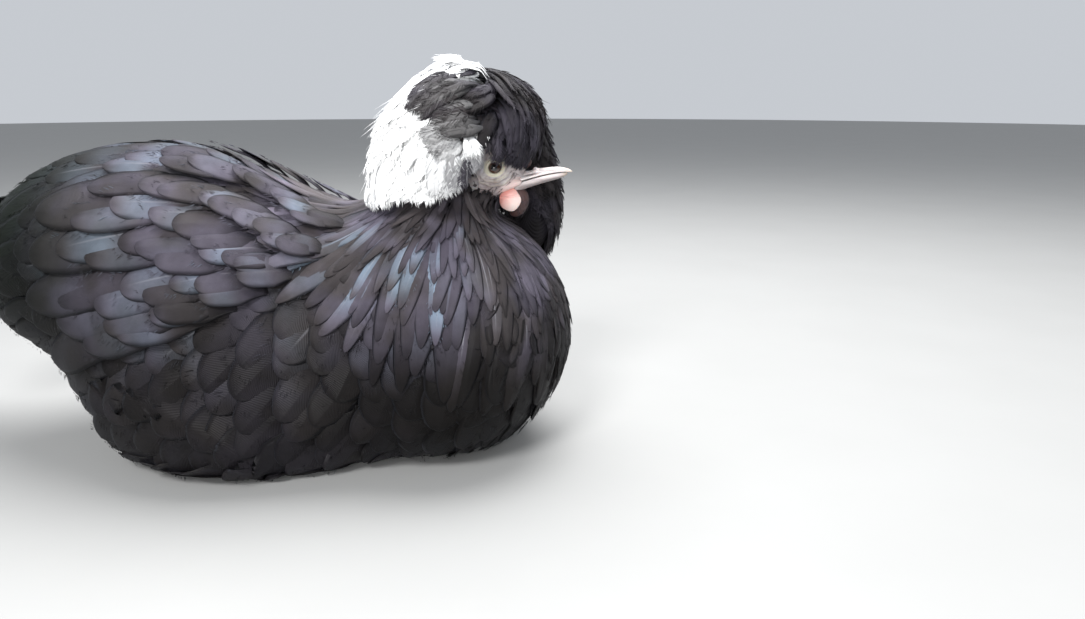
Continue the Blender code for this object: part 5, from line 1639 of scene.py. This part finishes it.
class HEN_OT_wattles(bpy.types.Operator):
    """Wattles, comb and earlobes"""

    bl_idname = "hen.wattles"
    bl_label = "Wattles, comb and earlobes"

    def execute(self, context):
        """Ellipsoids whose rims wave and thin out. Two tapering horns stand on the comb."""
        shading = Shading("hen_wattle_skin", 0.42, Subsurface_Weight=0.25, Subsurface_Scale=0.003,
                          Subsurface_Radius=(1.0, 0.3, 0.2))
        ahead, _, height = shading.object_place()
        lobe = shading.maths("MULTIPLY_ADD", shading.noise(260.0, 4.0), 0.003, height)
        lobe = shading.maths("MULTIPLY_ADD", ahead, -0.90, lobe)
        tint = shading.mix(shading.spread(lobe, 0.0370, 0.0200), "wattle", "wattle_pale")
        shading.bump(shading.cells(1300.0), 0.4, 0.0003)
        flesh_material = shading.colour(tint)
        comb = Shading("hen_comb_skin", 0.5, Subsurface_Weight=0.15, Subsurface_Scale=0.002)
        comb_material = comb.colour(comb.mix(comb.noise(300.0, 3.0), "comb", (0.03, 0.01, 0.01, 1)))
        for side, word in SIDES:
            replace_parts(self.wattle(side, word, flesh_material), "wattle_" + word)
        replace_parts(self.comb(comb_material), "comb")
        lobe_shading = Shading("hen_earlobe", 0.6, Subsurface_Weight=0.2, Subsurface_Scale=0.002)
        lobe_material = lobe_shading.colour(lobe_shading.mix(
            lobe_shading.noise(500.0, 3.0), "earlobe", (0.30, 0.28, 0.28, 1)
        ))
        for side, word in SIDES:
            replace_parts(self.earlobe(side, word, lobe_material), "earlobe_" + word)
        return {"FINISHED"}

    @staticmethod
    def wattle(side, word, material):
        """Narrower above, thin and curled at its rim, with one slanting crease."""
        ball, centre, radii, angle = ball_grid(WATTLE, side, 40, 64)
        height = ball[..., 2]
        around = np.arctan2(ball[..., 2], ball[..., 0])
        rim = np.hypot(ball[..., 0], ball[..., 2])
        narrow = 1 - 0.15 * smooth(0.1, 1.0, height)
        wave = 1 + 0.02 * np.sin(5 * around + 1.0) * rim**4
        points = ball * radii * np.stack([narrow * wave, 1 - 0.45 * rim**3, wave], -1)
        curl = 0.0012 * rim**2 * np.cos(around * 1.5 + 0.6)
        crease = -0.0007 * np.exp(-((height - 0.30 - 0.25 * ball[..., 0]) / 0.10) ** 2)
        crease = crease * np.sign(ball[..., 1] * side)
        points[..., 1] += side * (curl * 0.6 + crease)
        grid = tilted(points, angle) + centre
        return grid_piece("wattle_flesh_" + word, grid[::-1], material)

    @staticmethod
    def comb(material):
        """A low bumpy base and, on each side, a horn of rings on a short slanting path."""
        base, centre, radii, angle = ball_grid(COMB_BASE, 1, 24, 36)
        bumps = 1 + 0.05 * np.sin(base[..., :1] * 9) * np.cos(base[..., 2:] * 8)
        grid = tilted(base * radii * bumps, angle) + centre
        piece = grid_piece("comb_base", grid[::-1], material)
        for side, word in SIDES:
            share = np.linspace(0, 1, 16)[:, None]
            angles = np.linspace(0, 2 * math.pi, 20, endpoint=False)[None]
            path = np.array(COMB_BASE[0]) + np.stack(
                [-0.002 * share, side * (0.002 + 0.004 * share), 0.001 + 0.008 * share], -1
            )
            radius = (0.0022 - 0.0014 * share**1.5) * np.sqrt(np.maximum(1 - share**10, 0.02))
            ring = np.stack([np.cos(angles), np.sin(angles), 0 * angles], -1)
            grid_piece("comb_horn_" + word, path + radius[..., None] * ring, material)
        return piece

    @staticmethod
    def earlobe(side, word, material):
        """Waves cross the lobe as fine folds."""
        ball, centre, radii, angle = ball_grid(EARLOBE, side, 24, 40)
        folds = 1 + 0.035 * np.sin(ball[..., 2:] * 14 + ball[..., :1] * 4)
        grid = tilted(ball * radii * folds, angle) + centre
        return grid_piece("earlobe_skin_" + word, grid[::-1], material)


class HEN_OT_legs(bpy.types.Operator):
    """Scales and claws of the folded legs"""

    bl_idname = "hen.legs"
    bl_label = "Legs"

    def execute(self, context):
        """The solids of shanks, feet and claws keep their shape, with scales of cells stretched round
        the leg and streaked horn."""
        shading = Shading("hen_leg_scales", 0.45, Specular_IOR_Level=0.5)
        cells = shading.cells(420.0, (1.0, 0.5, 0.5))
        seams = shading.spread(cells, 0.55, 0.85)
        tint = shading.mix(seams, "scale", (0.025, 0.027, 0.03, 1))
        shading.bump(cells, 0.6, -0.0006)
        scales = shading.colour(tint)
        horn = Shading("hen_claw_horn", 0.35, Coat_Weight=0.2)
        horn_material = horn.colour(horn.mix(
            horn.noise(500.0, 3.0, (0.3, 1, 1)), "claw", (0.12, 0.10, 0.09, 1)
        ))
        for name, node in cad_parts.items():
            if name.startswith(("shank", "foot", "claw")):
                node.data.materials.clear()
                node.data.materials.append(horn_material if name.startswith("claw") else scales)
        return {"FINISHED"}


class HEN_OT_stage(bpy.types.Operator):
    """Floor, soft light and camera"""

    bl_idname = "hen.stage"
    bl_label = "Stage"

    def execute(self, context):
        """A wide disc for the floor, a large light overhead, two smaller ones in front, a pale surround
        and the camera."""
        stage = context.scene.hen_stage
        angle = np.linspace(0, 2 * math.pi, 96, endpoint=False)
        rim = np.stack([6 * np.cos(angle), 6 * np.sin(angle), np.zeros(96)], -1)
        mesh = bpy.data.meshes.new("floor")
        mesh.from_pydata(rim.tolist(), [], [list(range(96))])
        shading = Shading("studio_floor", 0.7)
        grain = shading.noise(9.0, 4.0)
        mesh.materials.append(shading.colour(shading.mix(
            shading.times(grain, 0.08), (*stage.floor, 1.0), (0.6, 0.6, 0.6, 1)
        )))
        placed("floor", mesh)
        self.light("key", (0.15, 0.35, 1.25), (math.radians(-14), 0, 0), 1.3, stage.key_power)
        self.light("front", (-0.15, -1.35, 1.15), (math.radians(50), 0, math.radians(-7)), 0.5,
                   stage.key_power * 0.85)
        self.light("catch", (0.19, -0.86, 0.33), (math.radians(79), 0, math.radians(3)), 0.20, 4.2)
        world = bpy.data.worlds.new("studio")
        world.use_nodes = True
        world.node_tree.nodes["Background"].inputs["Color"].default_value = (0.86, 0.90, 0.96, 1)
        world.node_tree.nodes["Background"].inputs["Strength"].default_value = stage.world
        context.scene.world = world
        context.scene.view_settings.view_transform = "Standard"
        lens = bpy.data.cameras.new("camera")
        lens.sensor_width = 36.0
        lens.lens = stage.lens
        lens.clip_start = 0.01
        camera = placed("camera", lens)
        camera.location = stage.camera_place
        camera.rotation_euler = Euler(stage.camera_turn)
        context.scene.camera = camera
        return {"FINISHED"}

    @staticmethod
    def light(name, place, turn, size, power):
        lamp = bpy.data.lights.new(name, "AREA")
        lamp.shape = "DISK"
        lamp.size = size
        lamp.energy = power
        lamp_object = placed(name, lamp)
        lamp_object.location = place
        lamp_object.rotation_euler = turn


class HEN_PT_panel(bpy.types.Panel):
    """Lists the pieces of the hen and their settings"""

    bl_idname = "HEN_PT_panel"
    bl_label = "Crested hen"
    bl_space_type = "VIEW_3D"
    bl_region_type = "UI"
    bl_category = "Hen"

    def draw(self, context):
        for operator in OPERATORS:
            self.layout.operator(operator.bl_idname)
        for group in SETTINGS:
            box = self.layout.box()
            box.label(text=group)
            settings = getattr(context.scene, group)
            for label in settings.__annotations__:
                box.prop(settings, label)


OPERATORS = (HEN_OT_skin, HEN_OT_body_coat, HEN_OT_hackle, HEN_OT_wings, HEN_OT_tail, HEN_OT_crest,
             HEN_OT_face_coat, HEN_OT_lids, HEN_OT_eyes, HEN_OT_bill, HEN_OT_wattles, HEN_OT_legs,
             HEN_OT_stage)
SETTINGS = {
    "hen_coat": HenCoatSettings,
    "hen_crest": HenCrestSettings,
    "hen_colours": HenColours,
    "hen_stage": HenStageSettings,
}


def register():
    for group in (*SETTINGS.values(), *OPERATORS, HEN_PT_panel):
        bpy.utils.register_class(group)
    for label, group in SETTINGS.items():
        setattr(bpy.types.Scene, label, PointerProperty(type=group))


def unregister():
    for label in SETTINGS:
        delattr(bpy.types.Scene, label)
    for group in (HEN_PT_panel, *reversed(OPERATORS), *reversed(SETTINGS.values())):
        bpy.utils.unregister_class(group)


def main():
    register()
    for operator in OPERATORS:
        family, name = operator.bl_idname.split(".")
        getattr(getattr(bpy.ops, family), name)()


if __name__ == "__main__":
    main()
